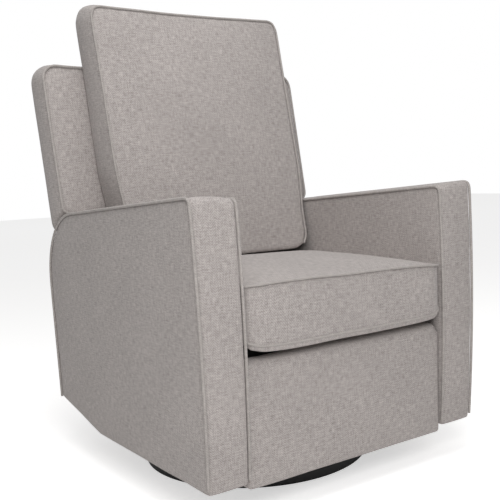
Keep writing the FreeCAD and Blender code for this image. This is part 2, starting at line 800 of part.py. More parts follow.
lean = "tan(back_tilt)"
inner_half = "arm_gap / 2 - back_gap"
wing_half = "arm_gap / 2 + arm_width - wing_inset"
wing_radius = "(arm_roll + wing_gap)"


def face_at(height, depth="0"):
    """The Y of a plane parallel to the back frame's front, a depth behind it, at a height."""
    return f"back_face + {lean} * ({height} - pivot_height) + ({depth}) / cos(back_tilt)"


def slab(low, high, front_depth, rear_depth):
    """The side outline of a leaning slab between two heights and two depths behind the front face."""
    return [
        (face_at(low, front_depth), low),
        (face_at(low, rear_depth), low),
        (face_at(high, rear_depth), high),
        (face_at(high, front_depth), high),
    ]


def back_solid(name, inset):
    """The back's T shape, all its faces moved in by an inset."""
    body = doc.addObject("PartDesign::Body", name)
    top = f"back_top - ({inset})"
    depths = (inset, f"back_thick - ({inset})")
    half = f"({wing_half} - ({inset}))"
    side_pad(body, f"{name}Wings", slab(f"{roll_z} + arm_roll / 2", top, *depths), f"-{half}", half)
    sketch = sketch_in(body, f"{name}_arc", "YZ_Plane", f"-{half} - 1")
    add_circle(sketch, roll_y, roll_z, f"{wing_radius} + ({inset})")
    pocket = body.newObject("PartDesign::Pocket", f"{name}_pocket")
    pocket.Profile = sketch
    pocket.Reversed = True
    bind(pocket, {"Length": f"{half} * 2 + 2"})
    doc.recompute()
    low = f"back_bottom + ({inset})"
    narrow = f"({inner_half} - ({inset}))"
    middle = side_pad(body, f"{name}Middle", slab(low, top, *depths), f"-{narrow}", narrow)
    corner_x = size(half) - 0.01
    corner_z = size(top) - 0.01

    def at_corner(a, b):
        """A test for the edges at the wings' top corners."""
        same_side = a.x * b.x > 0
        return same_side and all(abs(point.x) > corner_x and point.z > corner_z for point in (a, b))

    rounded(body, middle, f"{name}_corners", f"back_corner - ({inset})", at_corner)
    return body


back_shell = cut("BackShell", back_solid("BackOutside", "0"), back_solid("BackInside", "pad_wall"))

# two bushes pass through the shell's sides into the uprights, where the recline bolts turn
bolt_inner = f"{inner_half} - pad_wall - upright_thick"
bolt_bore = "recline_bolt + pin_clear"


def across(name, radius, low_x, high_x):
    """A pair of cylinders on the recline axis, one on each side of the chair."""
    length = f"({high_x}) - ({low_x})"
    left = rod(f"{name}_l", "X", (f"-({high_x})", "pivot_back", "pivot_height"), radius, length)
    right = rod(f"{name}_r", "X", (low_x, "pivot_back", "pivot_height"), radius, length)
    return group(name, [left, right])


bush_space = across("BushSpace", "recline_bush", bolt_inner, f"{inner_half} + 1")
keep(cut("BackShellBored", back_shell, bush_space), "back_shell")
bush_solid = across("BushSolid", "recline_bush", bolt_inner, inner_half)
bush_hole = across("BushHole", bolt_bore, f"{bolt_inner} - 1", f"{inner_half} + 1")
keep(cut("ReclineBushes", bush_solid, bush_hole), "recline_bushes")

bolt_solid = across("BoltShank", "recline_bolt", f"{bolt_inner} + 2", arm_middle)
collar = across("BoltCollar", "recline_bush", f"{inner_half} + 0.5", arm_inner)
keep(joined("ReclineBolts", [bolt_solid, collar]), "recline_bolts")


def timber(name, low, high, low_x, high_x, thick):
    """A leaning timber bar in the middle of the back's thickness."""
    body = doc.addObject("PartDesign::Body", name)
    front = f"(back_thick - {thick}) / 2"
    side_pad(body, f"{name}Bar", slab(low, high, front, f"{front} + {thick}"), low_x, high_x)
    return body


frame_low = "back_bottom + pad_wall + 2"
frame_high = "back_top - pad_wall - 2"
upright_outer = f"({inner_half} - pad_wall)"
upright_inner = f"({upright_outer} - upright_thick)"
upright = timber("Upright", frame_low, frame_high, f"-{upright_outer}", f"-{upright_inner}", "upright_depth")
keep_pair(cut("BackUpright", upright, bush_space), "back_upright")
for name, low in (
    ("back_lower_rail", "lower_rail_at"),
    ("back_middle_rail", "middle_rail_at"),
    ("back_top_rail", f"{frame_high} - back_rail_high"),
):
    bar = timber(name, low, f"{low} + back_rail_high", f"-{upright_inner}", upright_inner, "back_rail_thick")
    keep(bar, name)

# a light frame inside each wing keeps its edge straight
wing_outer = f"({wing_half} - pad_wall - 2)"
wing_inner = f"{wing_outer} - back_rail_thick"
wing_top = f"{frame_high} - back_corner"
wing_bar = timber("WingBar", "middle_rail_at", wing_top, f"-{wing_outer}", f"-({wing_inner})", "upright_depth")
wing_tie = timber(
    "WingTie",
    "middle_rail_at",
    "middle_rail_at + back_rail_high",
    f"-({wing_inner})",
    f"-{upright_outer}",
    "back_rail_thick",
)
keep_pair(joined("WingFrame", [wing_bar, wing_tie]), "wing_frame")

webs = []
web_count = 4
for index in range(web_count):
    low = f"lower_rail_at + back_rail_high + web_wide * (0.2 + 2 * {index})"
    front = "(back_thick - upright_depth) / 2 - web_thick"
    body = doc.addObject("PartDesign::Body", f"Web{index}")
    outline = slab(low, f"{low} + web_wide", front, f"{front} + web_thick")
    side_pad(body, f"Web{index}Band", outline, f"-{upright_outer}", upright_outer)
    webs.append(body)
keep(group("BackWebs", webs), "back_webs")

# the pillow's own face leans a little more than the frame that it stands against
pillow = doc.addObject("PartDesign::Body", "BackPillow")
pillow_half = "arm_gap / 2 - pillow_gap"
frame_clear = "-0.5"
pillow_rear_low = face_at("pillow_bottom", frame_clear)
pillow_rear_high = face_at("pillow_top", frame_clear)
pillow_front_low = f"{pillow_rear_low} - pillow_thick / cos(back_tilt)"
pillow_front_high = f"{pillow_front_low} + tan(back_tilt + pillow_lean) * (pillow_top - pillow_bottom)"
pillow_pad = side_pad(
    pillow,
    "Pillow",
    [
        (pillow_front_low, "pillow_bottom"),
        (pillow_rear_low, "pillow_bottom"),
        (pillow_rear_high, "pillow_top"),
        (pillow_front_high, "pillow_top"),
    ],
    f"-({pillow_half})",
    pillow_half,
)


def through_pillow(a, b):
    """A test for the edges that run from the pillow's face to its back."""
    return abs(a.x - b.x) < 0.001 < abs(a.y - b.y)


rounded(pillow, pillow_pad, "PillowCorners", "pillow_corner", through_pillow)
keep(pillow, "back_cushion")

# ---- footrest ---------------------------------------------------------------------------------

fixed_pivot = ("-foot_pivot_front", "foot_pivot_height")
knee_pivot = ("-knee_front", "knee_height")
panel_pivot = ("-panel_pivot_front", "panel_pivot_height")
hanger_outer = f"{rail_outer} + foot_plate"
rear_link_inner = f"{hanger_outer} + foot_gap"
rear_link_outer = f"{rear_link_inner} + foot_link"
front_link_inner = f"{rear_link_outer} + foot_gap"
front_link_outer = f"{front_link_inner} + foot_link"
bracket_inner = f"{front_link_outer} + foot_gap"
bracket_outer = f"{bracket_inner} + foot_plate"

hanger = plate(
    "FootrestHanger",
    [
        ("-foot_pivot_front - hanger_reach", "foot_pivot_height - hanger_drop"),
        ("-foot_pivot_front + hanger_reach", "foot_pivot_height - hanger_drop"),
        ("-foot_pivot_front + hanger_reach", "foot_pivot_height + hanger_drop"),
        ("-foot_pivot_front - hanger_reach", "foot_pivot_height + hanger_drop"),
    ],
    [fixed_pivot + ("pin_radius",)],
    f"-({hanger_outer})",
    f"-({rail_outer})",
    "hanger_drop / 3",
)
keep_pair(hanger, "footrest_hanger")
hanger_pins = [
    headed_pin(
        "HangerPin",
        sign,
        fixed_pivot,
        rail_outer,
        f"{rear_link_outer} + head_clear + pin_head_thick",
        f"{rear_link_outer} + head_clear",
    )
    for sign in ("-", "")
]
keep(group("HangerPins", hanger_pins), "footrest_hanger_pins")

rear_link = link(
    "FootrestRearLink",
    fixed_pivot,
    knee_pivot,
    "foot_link_half",
    f"-({rear_link_outer})",
    f"-({rear_link_inner})",
    (pin_bore, "pin_radius"),
)
keep_pair(rear_link, "footrest_rear_link")
knee_pins = [
    headed_pin(
        "KneePin",
        sign,
        knee_pivot,
        f"{rear_link_inner} - pin_head_thick",
        f"{front_link_outer} + head_clear + pin_head_thick",
        f"{rear_link_inner} - pin_head_thick",
        f"{front_link_outer} + head_clear",
    )
    for sign in ("-", "")
]
keep(group("KneePins", knee_pins), "footrest_knee_pins")

front_link = link(
    "FootrestFrontLink",
    knee_pivot,
    panel_pivot,
    "foot_link_half",
    f"-({front_link_outer})",
    f"-({front_link_inner})",
    (pin_bore, pin_bore),
)
keep_pair(front_link, "footrest_front_link")

run_y = "(knee_front - panel_pivot_front)"
run_z = "(panel_pivot_height - knee_height)"
back_share = f"foot_tube_back / sqrt({run_y} ^ 2 + {run_z} ^ 2)"
tube_y = f"-panel_pivot_front - {run_y} * {back_share}"
tube_z = f"panel_pivot_height - {run_z} * {back_share}"
tube_start = (f"-({front_link_inner})", tube_y, tube_z)
tube_length = f"({front_link_inner}) * 2"
cross_tube = rod("FootTubeOutside", "X", tube_start, "foot_tube_radius", tube_length)
cross_bore = rod("FootTubeBore", "X", tube_start, "foot_tube_radius - tube_wall", tube_length)
keep(cut("FootrestCrossTube", cross_tube, cross_bore), "footrest_cross_tube")

# the panel hangs on brackets behind its padded face
panel_half = "(arm_gap / 2 - panel_gap)"
panel_rear = "(-panel_front + panel_thick)"
panel_top = f"({deck_top} - panel_reveal)"
panel = doc.addObject("PartDesign::Body", "FootrestPanel")
panel_pad = side_pad(
    panel,
    "Panel",
    [
        ("-panel_front", "panel_bottom"),
        (panel_rear, "panel_bottom"),
        (panel_rear, panel_top),
        ("-panel_front", panel_top),
    ],
    f"-{panel_half}",
    panel_half,
)
top_height = size(panel_top) - 0.01


def along_top(a, b):
    """A test for the long edges at the top of the panel."""
    return runs_along(0)(a, b) and a.z > top_height


rounded(panel, panel_pad, "PanelTop", "panel_round", along_top)
board = box(
    "PanelBoard",
    (f"-{panel_half} + board_margin / 2", f"{panel_half} - board_margin / 2"),
    (f"{panel_rear} - pad_wall / 2 - board_thick", f"{panel_rear} - pad_wall / 2"),
    ("panel_bottom + board_margin / 2", f"{panel_top} - board_margin"),
)
board_space = box(
    "PanelBoardSpace",
    (f"-{panel_half} + board_margin / 2", f"{panel_half} - board_margin / 2"),
    (f"{panel_rear} - pad_wall / 2 - board_thick", f"{panel_rear} - pad_wall / 2"),
    ("panel_bottom + board_margin / 2", f"{panel_top} - board_margin"),
)
keep(cut("FootrestPad", panel, board_space), "footrest_pad")
keep(board, "footrest_board")

bracket = plate(
    "FootrestBracket",
    [
        (panel_rear, "panel_pivot_height - bracket_reach"),
        ("-panel_pivot_front + bracket_nose", "panel_pivot_height - bracket_reach / 3"),
        ("-panel_pivot_front + bracket_nose", "panel_pivot_height + bracket_reach / 3"),
        (panel_rear, "panel_pivot_height + bracket_reach"),
    ],
    [panel_pivot + ("pin_radius",)],
    f"-({bracket_outer})",
    f"-({bracket_inner})",
    "bracket_nose / 3",
)
flange_low = "panel_pivot_height - bracket_reach + flange_thick"
flange_high = "panel_pivot_height + bracket_reach - flange_thick"
flange = box(
    "BracketFlange",
    (f"-({bracket_outer})", f"-({bracket_outer}) + flange_width"),
    (panel_rear, f"{panel_rear} + flange_thick"),
    (flange_low, flange_high),
)
keep_pair(joined("FootrestBracketWhole", [bracket, flange]), "footrest_bracket")
panel_pins = [
    headed_pin(
        "PanelPin",
        sign,
        panel_pivot,
        f"{front_link_inner} - head_clear - pin_head_thick",
        f"{bracket_outer} + pin_head_thick",
        f"{front_link_inner} - head_clear - pin_head_thick",
        bracket_outer,
    )
    for sign in ("-", "")
]
keep(group("PanelPins", panel_pins), "footrest_panel_pins")

# ---- check and write --------------------------------------------------------------------------

doc.recompute()
failed = [item.Label for item in doc.Objects if {"Invalid", "Error"} & set(item.State)]
if failed:
    raise RuntimeError(f"these objects failed: {failed}")
for item in sub_parts:
    if item.Shape.isNull() or not item.Shape.isValid() or not item.Shape.Solids:
        raise RuntimeError(f"{item.Label} has no sound shape")
os.makedirs("parts", exist_ok=True)
for item in sub_parts:
    item.Shape.exportStep(f"parts/{item.Label}.step")
print(len(sub_parts), "sub-parts written")
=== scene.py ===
# %% [markdown]
# # A swivel glider for a nursery, upholstered in a warm grey herringbone
# The chair's frame, base and mechanism are a CAD model. This lesson loads it, dresses it in padded
# covers, cushions and piping, gives every part its finish, and lights it like a catalogue picture.

# %% Load the frame
import json
import math

import bpy
import numpy as np
from mathutils import Matrix, Vector, noise


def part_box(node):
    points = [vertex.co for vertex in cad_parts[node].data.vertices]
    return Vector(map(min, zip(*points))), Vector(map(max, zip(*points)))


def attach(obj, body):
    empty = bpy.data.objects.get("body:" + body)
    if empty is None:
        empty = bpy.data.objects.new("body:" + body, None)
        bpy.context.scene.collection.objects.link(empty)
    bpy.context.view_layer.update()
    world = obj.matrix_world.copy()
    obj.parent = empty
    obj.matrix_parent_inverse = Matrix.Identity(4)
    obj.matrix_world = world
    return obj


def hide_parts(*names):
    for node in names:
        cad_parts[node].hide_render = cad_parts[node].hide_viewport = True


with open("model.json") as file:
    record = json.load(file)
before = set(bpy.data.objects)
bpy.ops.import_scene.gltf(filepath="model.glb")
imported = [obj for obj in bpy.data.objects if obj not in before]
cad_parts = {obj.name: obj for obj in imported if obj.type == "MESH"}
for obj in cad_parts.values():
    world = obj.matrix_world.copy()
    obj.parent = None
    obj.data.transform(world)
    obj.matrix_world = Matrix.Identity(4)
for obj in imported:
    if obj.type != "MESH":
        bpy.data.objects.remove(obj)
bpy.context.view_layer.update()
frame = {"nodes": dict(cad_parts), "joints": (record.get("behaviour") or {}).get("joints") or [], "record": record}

MM = 0.001
RIPPLE_SEED = 7
noise.seed_set(RIPPLE_SEED)

# %% [markdown]
# ## Colours and nodes
# Colours are written as the hex codes of a paint chart, and one function turns them to linear light.
# Another function adds a node with its settings and its links, for shader and geometry trees alike.

# %% Colour and node helpers


def paint(code):
    """A hex colour from a paint chart as linear red, green, blue and alpha."""
    parts = [int(code[i : i + 2], 16) / 255 for i in (1, 3, 5)]
    linear = [p / 12.92 if p <= 0.04045 else ((p + 0.055) / 1.055) ** 2.4 for p in parts]
    return (*linear, 1.0)


def add(tree, kind, links=None, stops=(), **settings):
    """Add a node and set its properties, inputs and colour stops.

    An input takes a value, an output of another node, or a node, which stands for its first output.
    """
    made = tree.nodes.new(kind)
    for key, value in settings.items():
        setattr(made, key, value)
    for key, value in (links or {}).items():
        socket = made.inputs[key]
        if isinstance(value, bpy.types.Node):
            value = value.outputs[0]
        if isinstance(value, bpy.types.NodeSocket):
            tree.links.new(value, socket)
        else:
            socket.default_value = value
    for number, (position, code) in enumerate(stops):
        ramp = made.color_ramp.elements
        stop = ramp[number] if number < 2 else ramp.new(position)
        stop.position = position
        stop.color = paint(code)
    return made


def new_material(name):
    """An empty node material with its output, and the tree to build in."""
    material = bpy.data.materials.new(name)
    material.use_nodes = True
    material.node_tree.nodes.clear()
    output = add(material.node_tree, "ShaderNodeOutputMaterial")
    return material, material.node_tree, output


def finish_material(tree, output, shader_links, height=None, strength=0.3, distance=0.0005):
    """Join a Principled shader to the output, with an optional height for bump."""
    links = dict(shader_links)
    if height is not None:
        relief = {"Height": height, "Strength": strength, "Distance": distance}
        links["Normal"] = add(tree, "ShaderNodeBump", relief)
    shader = add(tree, "ShaderNodeBsdfPrincipled", links)
    tree.links.new(shader.outputs["BSDF"], output.inputs["Surface"])


print("helpers ready")

# %% [markdown]
# ## The cover cloth
# The chair wears a woven polyester-linen herringbone: pale warm-grey warp over a slightly darker weft.
# Herringbone is a twill whose slant turns round every few millimetres, so a stripe whose phase follows a
# triangle wave draws it. Threads are about 0.7 mm in the real cloth and a stripe is four of them. That is
# finer than a picture of a whole chair can show, so the stripe is drawn at 5 mm and the slubs, the thick
# places in the yarn, at 3 mm. The pattern reads the piece's own UV map, laid out in metres.

# %% Herringbone cloth
RIB_WIDTH = 11 * MM
STRIPE_PITCH = 5 * MM
SLUB_WIDTH = 3 * MM
SLUB_LENGTH = 16 * MM
THREAD_PITCH = 1.5 * MM
SLUB_SHARE = 0.84
CLOUD_SCALE = 7.0


def herringbone(name, pale, mid, dark):
    """A woven herringbone upholstery cloth in three tones."""
    material, tree, output = new_material(name)
    cloth = add(tree, "ShaderNodeUVMap", uv_map="UVMap")
    axes = add(tree, "ShaderNodeSeparateXYZ", {0: cloth})
    across, along = axes.outputs["X"], axes.outputs["Y"]
    # Stripes: rows along the cloth, shifted by a triangle wave across it.
    ribs = add(tree, "ShaderNodeMath", {0: across, 1: RIB_WIDTH}, operation="DIVIDE")
    slant = add(tree, "ShaderNodeMath", {0: ribs, 1: 1.0}, operation="PINGPONG")
    shift = add(tree, "ShaderNodeMath", {0: slant, 1: RIB_WIDTH / STRIPE_PITCH}, operation="MULTIPLY")
    rows = add(tree, "ShaderNodeMath", {0: along, 1: STRIPE_PITCH}, operation="DIVIDE")
    phase = add(tree, "ShaderNodeMath", {0: rows, 1: shift}, operation="ADD")
    angle = add(tree, "ShaderNodeMath", {0: phase, 1: 2 * math.pi}, operation="MULTIPLY")
    wave = add(tree, "ShaderNodeMath", {0: angle}, operation="SINE")
    stripe = add(tree, "ShaderNodeMath", {0: wave, 1: 0.5, 2: 0.5}, operation="MULTIPLY_ADD")
    # Slubs: noise stretched one way for the warp and the other way for the weft.
    slubs = []
    for wide, long in ((SLUB_WIDTH, SLUB_LENGTH), (SLUB_LENGTH, SLUB_WIDTH)):
        yarn = add(tree, "ShaderNodeMapping", {"Vector": cloth, "Scale": (1 / wide, 1 / long, 1.0)})
        slubs.append(add(tree, "ShaderNodeTexNoise", {"Scale": 1.0, "Detail": 2.0, "Vector": yarn}))
    both = add(tree, "ShaderNodeMath", {0: slubs[0], 1: slubs[1]}, operation="ADD")
    slub = add(tree, "ShaderNodeMath", {0: both, 1: 0.5 * SLUB_SHARE}, operation="MULTIPLY")
    lines = add(tree, "ShaderNodeMath", {0: stripe, 1: 1 - SLUB_SHARE}, operation="MULTIPLY")
    weave = add(tree, "ShaderNodeMath", {0: lines, 1: slub}, operation="ADD")
    tone = add(tree, "ShaderNodeValToRGB", {"Fac": weave}, stops=((0.30, dark), (0.50, mid), (0.70, pale)))
    # Wear: broad patches a little lighter or darker than the rest.
    cloud = add(tree, "ShaderNodeTexNoise", {"Scale": CLOUD_SCALE, "Detail": 4.0, "Vector": cloth})
    span = {"Value": cloud, "From Min": 0.3, "From Max": 0.7, "To Min": 0.95, "To Max": 1.04}
    wear = add(tree, "ShaderNodeMapRange", span)
    mix = {"Factor": 1.0, "A": tone.outputs["Color"], "B": wear.outputs[0]}
    colour = add(tree, "ShaderNodeMix", mix, data_type="RGBA", blend_type="MULTIPLY")
    # Threads: two crossed sine waves, for the bump only.
    turns = [
        add(tree, "ShaderNodeMath", {0: way, 1: 2 * math.pi / THREAD_PITCH}, operation="MULTIPLY")
        for way in (across, along)
    ]
    warp, weft = [add(tree, "ShaderNodeMath", {0: turn}, operation="SINE") for turn in turns]
    threads = add(tree, "ShaderNodeMath", {0: warp, 1: weft}, operation="MULTIPLY")
    height = add(tree, "ShaderNodeMath", {0: threads, 1: 0.35, 2: weave}, operation="MULTIPLY_ADD")
    links = {
        "Base Color": colour.outputs["Result"],
        "Roughness": 0.92,
        "Specular IOR Level": 0.25,
        "Sheen Weight": 0.18,
        "Sheen Roughness": 0.5,
    }
    finish_material(tree, output, links, height, strength=0.35, distance=0.0006)
    return material


cover_cloth = herringbone("polyester_linen_herringbone", "#c6bfbb", "#aaa3a0", "#8b8481")
welt_cloth = herringbone("bias_cut_piping_cloth", "#beb8b4", "#a9a39f", "#918b87")
print("cloth:", cover_cloth.name, welt_cloth.name)

# %% [markdown]
# ## The hidden finishes
# The base dish is deep-drawn steel with a black powder coat: a fine orange-peel skin, half matt. Links and
# pins are zinc plated, which leaves a faint milky bloom. The rails are kiln-dried rubberwood, sawn and left
# bare, but the three that show under the seat cushion are wrapped in the decking, a black non-woven cloth,
# whose black there also stands in for painted shade under the cushion's overhang.
# The base stands on moulded rubber. A few scales are coarser than life, so that the grain shows.

# %% Powder coat, zinc, timber, webbing and rubber


def object_position(tree, scale=(1.0, 1.0, 1.0)):
    """The place on the object in metres, stretched along each axis."""
    place = add(tree, "ShaderNodeTexCoord")
    return add(tree, "ShaderNodeMapping", {"Vector": place.outputs["Object"], "Scale": scale})


def powder_coat():
    """Black polyester powder coat baked on steel."""
    material, tree, output = new_material("black_powder_coated_steel")
    place = object_position(tree)
    peel = add(tree, "ShaderNodeTexNoise", {"Vector": place, "Scale": 900.0, "Detail": 2.0})
    dust = add(tree, "ShaderNodeTexNoise", {"Vector": place, "Scale": 9.0, "Detail": 6.0})
    rough = add(tree, "ShaderNodeMapRange", {"Value": dust, "To Min": 0.34, "To Max": 0.58})
    colour = add(tree, "ShaderNodeValToRGB", {"Fac": dust}, stops=((0.3, "#1a1a1b"), (0.7, "#2a2a2b")))
    links = {"Base Color": colour, "Roughness": rough, "Specular IOR Level": 0.5}
    finish_material(tree, output, links, peel, strength=0.25, distance=0.0003)
    return material


def zinc_plate(name, low_code, high_code, rough_low, rough_high):
    """Bright zinc plating over stamped or drawn steel."""
    material, tree, output = new_material(name)
    place = object_position(tree, (1.0, 1.0, 6.0))
    bloom = add(tree, "ShaderNodeTexNoise", {"Vector": place, "Scale": 30.0, "Detail": 5.0})
    grain = add(tree, "ShaderNodeTexNoise", {"Vector": place, "Scale": 1500.0, "Detail": 1.0})
    rough = add(tree, "ShaderNodeMapRange", {"Value": bloom, "To Min": rough_low, "To Max": rough_high})
    colour = add(tree, "ShaderNodeValToRGB", {"Fac": bloom}, stops=((0.3, low_code), (0.7, high_code)))
    links = {"Base Color": colour, "Metallic": 1.0, "Roughness": rough}
    finish_material(tree, output, links, grain, strength=0.12, distance=0.0002)
    return material


def sawn_timber():
    """Bare rubberwood with a long straight grain and saw marks."""
    material, tree, output = new_material("sawn_rubberwood")
    place = object_position(tree, (26.0, 3.0, 26.0))
    bend = add(tree, "ShaderNodeTexNoise", {"Vector": place, "Scale": 1.2, "Detail": 3.0})
    bands = {"Vector": place, "Scale": 1.6, "Distortion": 5.0, "Detail": 3.0}
    rings = add(tree, "ShaderNodeTexWave", bands, bands_direction="Z")
    pores = add(tree, "ShaderNodeTexNoise", {"Vector": place, "Scale": 40.0, "Detail": 2.0})
    drift = add(tree, "ShaderNodeMath", {0: bend, 1: 0.4}, operation="MULTIPLY")
    mixed = add(tree, "ShaderNodeMath", {0: rings.outputs["Fac"], 1: 0.6, 2: drift}, operation="MULTIPLY_ADD")
    colour = add(tree, "ShaderNodeValToRGB", {"Fac": mixed}, stops=((0.2, "#a9865a"), (0.8, "#d3b486")))
    finish_material(tree, output, {"Base Color": colour, "Roughness": 0.7}, pores, 0.4, 0.0004)
    return material


def plain_cloth(name, low_code, high_code, thread, rough):
    """A plain woven or non-woven lining with its threads in the bump."""
    material, tree, output = new_material(name)
    place = object_position(tree)
    threads = add(tree, "ShaderNodeTexBrick", {"Vector": place, "Scale": 1 / thread, "Mortar Size": 0.08})
    fluff = add(tree, "ShaderNodeTexNoise", {"Vector": place, "Scale": 180.0, "Detail": 4.0})
    colour = add(tree, "ShaderNodeValToRGB", {"Fac": fluff}, stops=((0.3, low_code), (0.7, high_code)))
    height = add(tree, "ShaderNodeMath", {0: threads.outputs["Fac"], 1: fluff}, operation="ADD")
    links = {"Base Color": colour, "Roughness": rough, "Sheen Weight": 0.1}
    finish_material(tree, output, links, height, 0.3, 0.0005)
    return material


def floor_rubber():
    """Moulded black rubber, dusty in its grain."""
    material, tree, output = new_material("moulded_rubber_pad")
    place = object_position(tree)
    grain = add(tree, "ShaderNodeTexVoronoi", {"Vector": place, "Scale": 500.0})
    dust = add(tree, "ShaderNodeTexNoise", {"Vector": place, "Scale": 14.0, "Detail": 5.0})
    colour = add(tree, "ShaderNodeValToRGB", {"Fac": dust}, stops=((0.3, "#121212"), (0.7, "#242322")))
    links = {"Base Color": colour, "Roughness": 0.85}
    finish_material(tree, output, links, grain.outputs["Distance"], 0.3, 0.0004)
    return material


slot_finish = {
    "black_steel": powder_coat(),
    "zinc_steel": zinc_plate("bright_zinc_plate", "#9a9a9c", "#bfc0c3", 0.28, 0.45),
    "hardwood": sawn_timber(),
    "deck_cloth": plain_cloth("black_decking_cloth", "#1b1b1c", "#2b2a2a", 1.6 * MM, 0.95),
    "elastic_web": plain_cloth("elastic_seat_webbing", "#5a5650", "#7c776f", 1.2 * MM, 0.85),
    "floor_rubber": floor_rubber(),
    "woven_upholstery": cover_cloth,
}
own_finish = {"seat_springs": zinc_plate("oiled_spring_steel", "#4b4a4a", "#6d6c6d", 0.3, 0.5)}
# The three rails under the seat cushion take the black decking: real decking cloth, whose black also paints the
# shade under the cushion.
for name in ("front_rail", "side_rail_left", "side_rail_right"):
    own_finish[name] = slot_finish["deck_cloth"]

for part in frame["record"]["subparts"]:
    shape = frame["nodes"][part["node"]].data
    shape.materials.clear()
    shape.materials.append(own_finish.get(part["node"], slot_finish[part["material_slot"]]))
print("finishes:", ", ".join(m.name for m in slot_finish.values()))

# %% [markdown]
# ## Studio
# A pale floor that glows a little, as a light table does, a soft key from the front left, a top light, and
# white paper all round. Paper and floor look white to the lens and light the chair much less, so that its
# sides stay in shade. The lens is a short telephoto at chest height, shifted a little to take in the back.

# %% Floor, lights and camera


def mesh_piece(name, points, faces):
    """A smooth-shaded mesh object from points and faces."""
    shape = bpy.data.meshes.new(name)
    shape.from_pydata([tuple(p) for p in points], [], [tuple(f) for f in faces])
    shape.update()
    shape.polygons.foreach_set("use_smooth", [True] * len(shape.polygons))
    made = bpy.data.objects.new(name, shape)
    bpy.context.scene.collection.objects.link(made)
    return made


FLOOR_HALF = 14.0
FLOOR_GLOW = 0.08
FLOOR_SEEN = 0.55
AMBIENT = 0.335

floor_corners = [(x * FLOOR_HALF, y * FLOOR_HALF, 0) for x, y in ((-1, -1), (1, -1), (1, 1), (-1, 1))]
floor = mesh_piece("studio_floor", floor_corners, [(0, 1, 2, 3)])
floor_paint, floor_tree, floor_output = new_material("matt_white_studio_floor")
floor_grain = add(floor_tree, "ShaderNodeTexNoise", {"Scale": 3.0, "Detail": 2.0})
pale_stops = ((0.3, "#f4f3f2"), (0.7, "#fbfafa"))
floor_colour = add(floor_tree, "ShaderNodeValToRGB", {"Fac": floor_grain}, stops=pale_stops)
floor_ray = add(floor_tree, "ShaderNodeLightPath").outputs["Is Camera Ray"]
floor_span = {"Value": floor_ray, "To Min": FLOOR_GLOW, "To Max": FLOOR_SEEN}
floor_glow = add(floor_tree, "ShaderNodeMapRange", floor_span)
floor_links = {"Base Color": floor_colour, "Roughness": 0.9, "Emission Color": paint("#ffffff")}
finish_material(floor_tree, floor_output, floor_links | {"Emission Strength": floor_glow})
floor.data.materials.append(floor_paint)

world = bpy.data.worlds.new("studio")
bpy.context.scene.world = world
world.use_nodes = True
sky = world.node_tree
sky.nodes.clear()
sky_ray = add(sky, "ShaderNodeLightPath").outputs["Is Camera Ray"]
sky_glow = add(sky, "ShaderNodeMapRange", {"Value": sky_ray, "To Min": AMBIENT, "To Max": 1.0})
paper = add(sky, "ShaderNodeBackground", {"Color": paint("#ffffff"), "Strength": sky_glow})
add(sky, "ShaderNodeOutputWorld", {"Surface": paper})


def soft_light(name, place, aim, width, power):
    """A square soft box at a place, turned towards a point."""
    lamp = bpy.data.lights.new(name, "AREA")
    lamp.shape = "SQUARE"
    lamp.size = width
    lamp.energy = power
    holder = bpy.data.objects.new(name, lamp)
    holder.location = place
    holder.rotation_euler = (Vector(aim) - Vector(place)).to_track_quat("-Z", "Y").to_euler()
    bpy.context.scene.collection.objects.link(holder)


soft_light("key_softbox", place=(-0.95, -1.85, 1.4), aim=(0, 0, 0.6), width=0.8, power=19)
soft_light("top_softbox", place=(-0.3, -0.5, 2.9), aim=(0.05, 0, 0.4), width=1.4, power=30)

CAMERA_PLACE = Vector((-1.116, -1.697, 0.708))
CAMERA_HEADING = 0.624
CAMERA_DIP = 0.158
CAMERA_ROLL = -0.042
FOCAL_IN_WIDTHS = 1.612
SHIFT = (-0.067, 0.100)

flat_ahead = Vector((math.sin(CAMERA_HEADING), math.cos(CAMERA_HEADING), 0))
ahead = flat_ahead * math.cos(CAMERA_DIP) - Vector((0, 0, math.sin(CAMERA_DIP)))
level = Vector((math.cos(CAMERA_HEADING), -math.sin(CAMERA_HEADING), 0))
upright = level.cross(ahead)
right = level * math.cos(CAMERA_ROLL) + upright * math.sin(CAMERA_ROLL)
above = upright * math.cos(CAMERA_ROLL) - level * math.sin(CAMERA_ROLL)
bpy.context.scene.view_settings.view_transform = "Standard"
lens = bpy.data.cameras.new("catalogue_camera")
lens.sensor_width = 36
lens.lens = FOCAL_IN_WIDTHS * lens.sensor_width
lens.shift_x, lens.shift_y = SHIFT
lens.clip_start = 0.05
camera = bpy.data.objects.new("catalogue_camera", lens)
facing = Matrix((right, above, -ahead)).transposed().to_4x4()
camera.matrix_world = Matrix.Translation(CAMERA_PLACE) @ facing
bpy.context.scene.collection.objects.link(camera)
bpy.context.scene.camera = camera
print("camera at", [round(v, 2) for v in CAMERA_PLACE], "lens", round(lens.lens, 1), "mm")

# %% [markdown]
# ## Measures from the frame
# Every cover takes its place from the CAD box of the part that it dresses, so nothing is fitted by eye.

# %% Measures
arm_low, arm_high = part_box("arm_shell_right")
seat_low, seat_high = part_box("seat_cushion")
pillow_low, pillow_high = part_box("back_cushion")
back_low, back_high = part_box("back_shell")
panel_low, panel_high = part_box("footrest_pad")
rear_low, rear_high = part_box("rear_panel")
joint = {j["name"]: j for j in frame["joints"]}
pivot_y, pivot_z = joint["recline"]["pos_m"][1:]
print("arm", [round(v, 3) for v in arm_low], [round(v, 3) for v in arm_high])
print("recline pivot at y", pivot_y, "z", pivot_z)

# %% [markdown]
# ## Ways to make a padded shape
# Two shapes cover the whole chair. A block is a box of small quads whose edges can be rounded; cushions and
# panels start from it. A slab is an outline with a width; arms and the T-shaped back start from that. Both
# keep their seam lines as rows of points, so that piping can follow them after any change of shape.

# %% Blocks


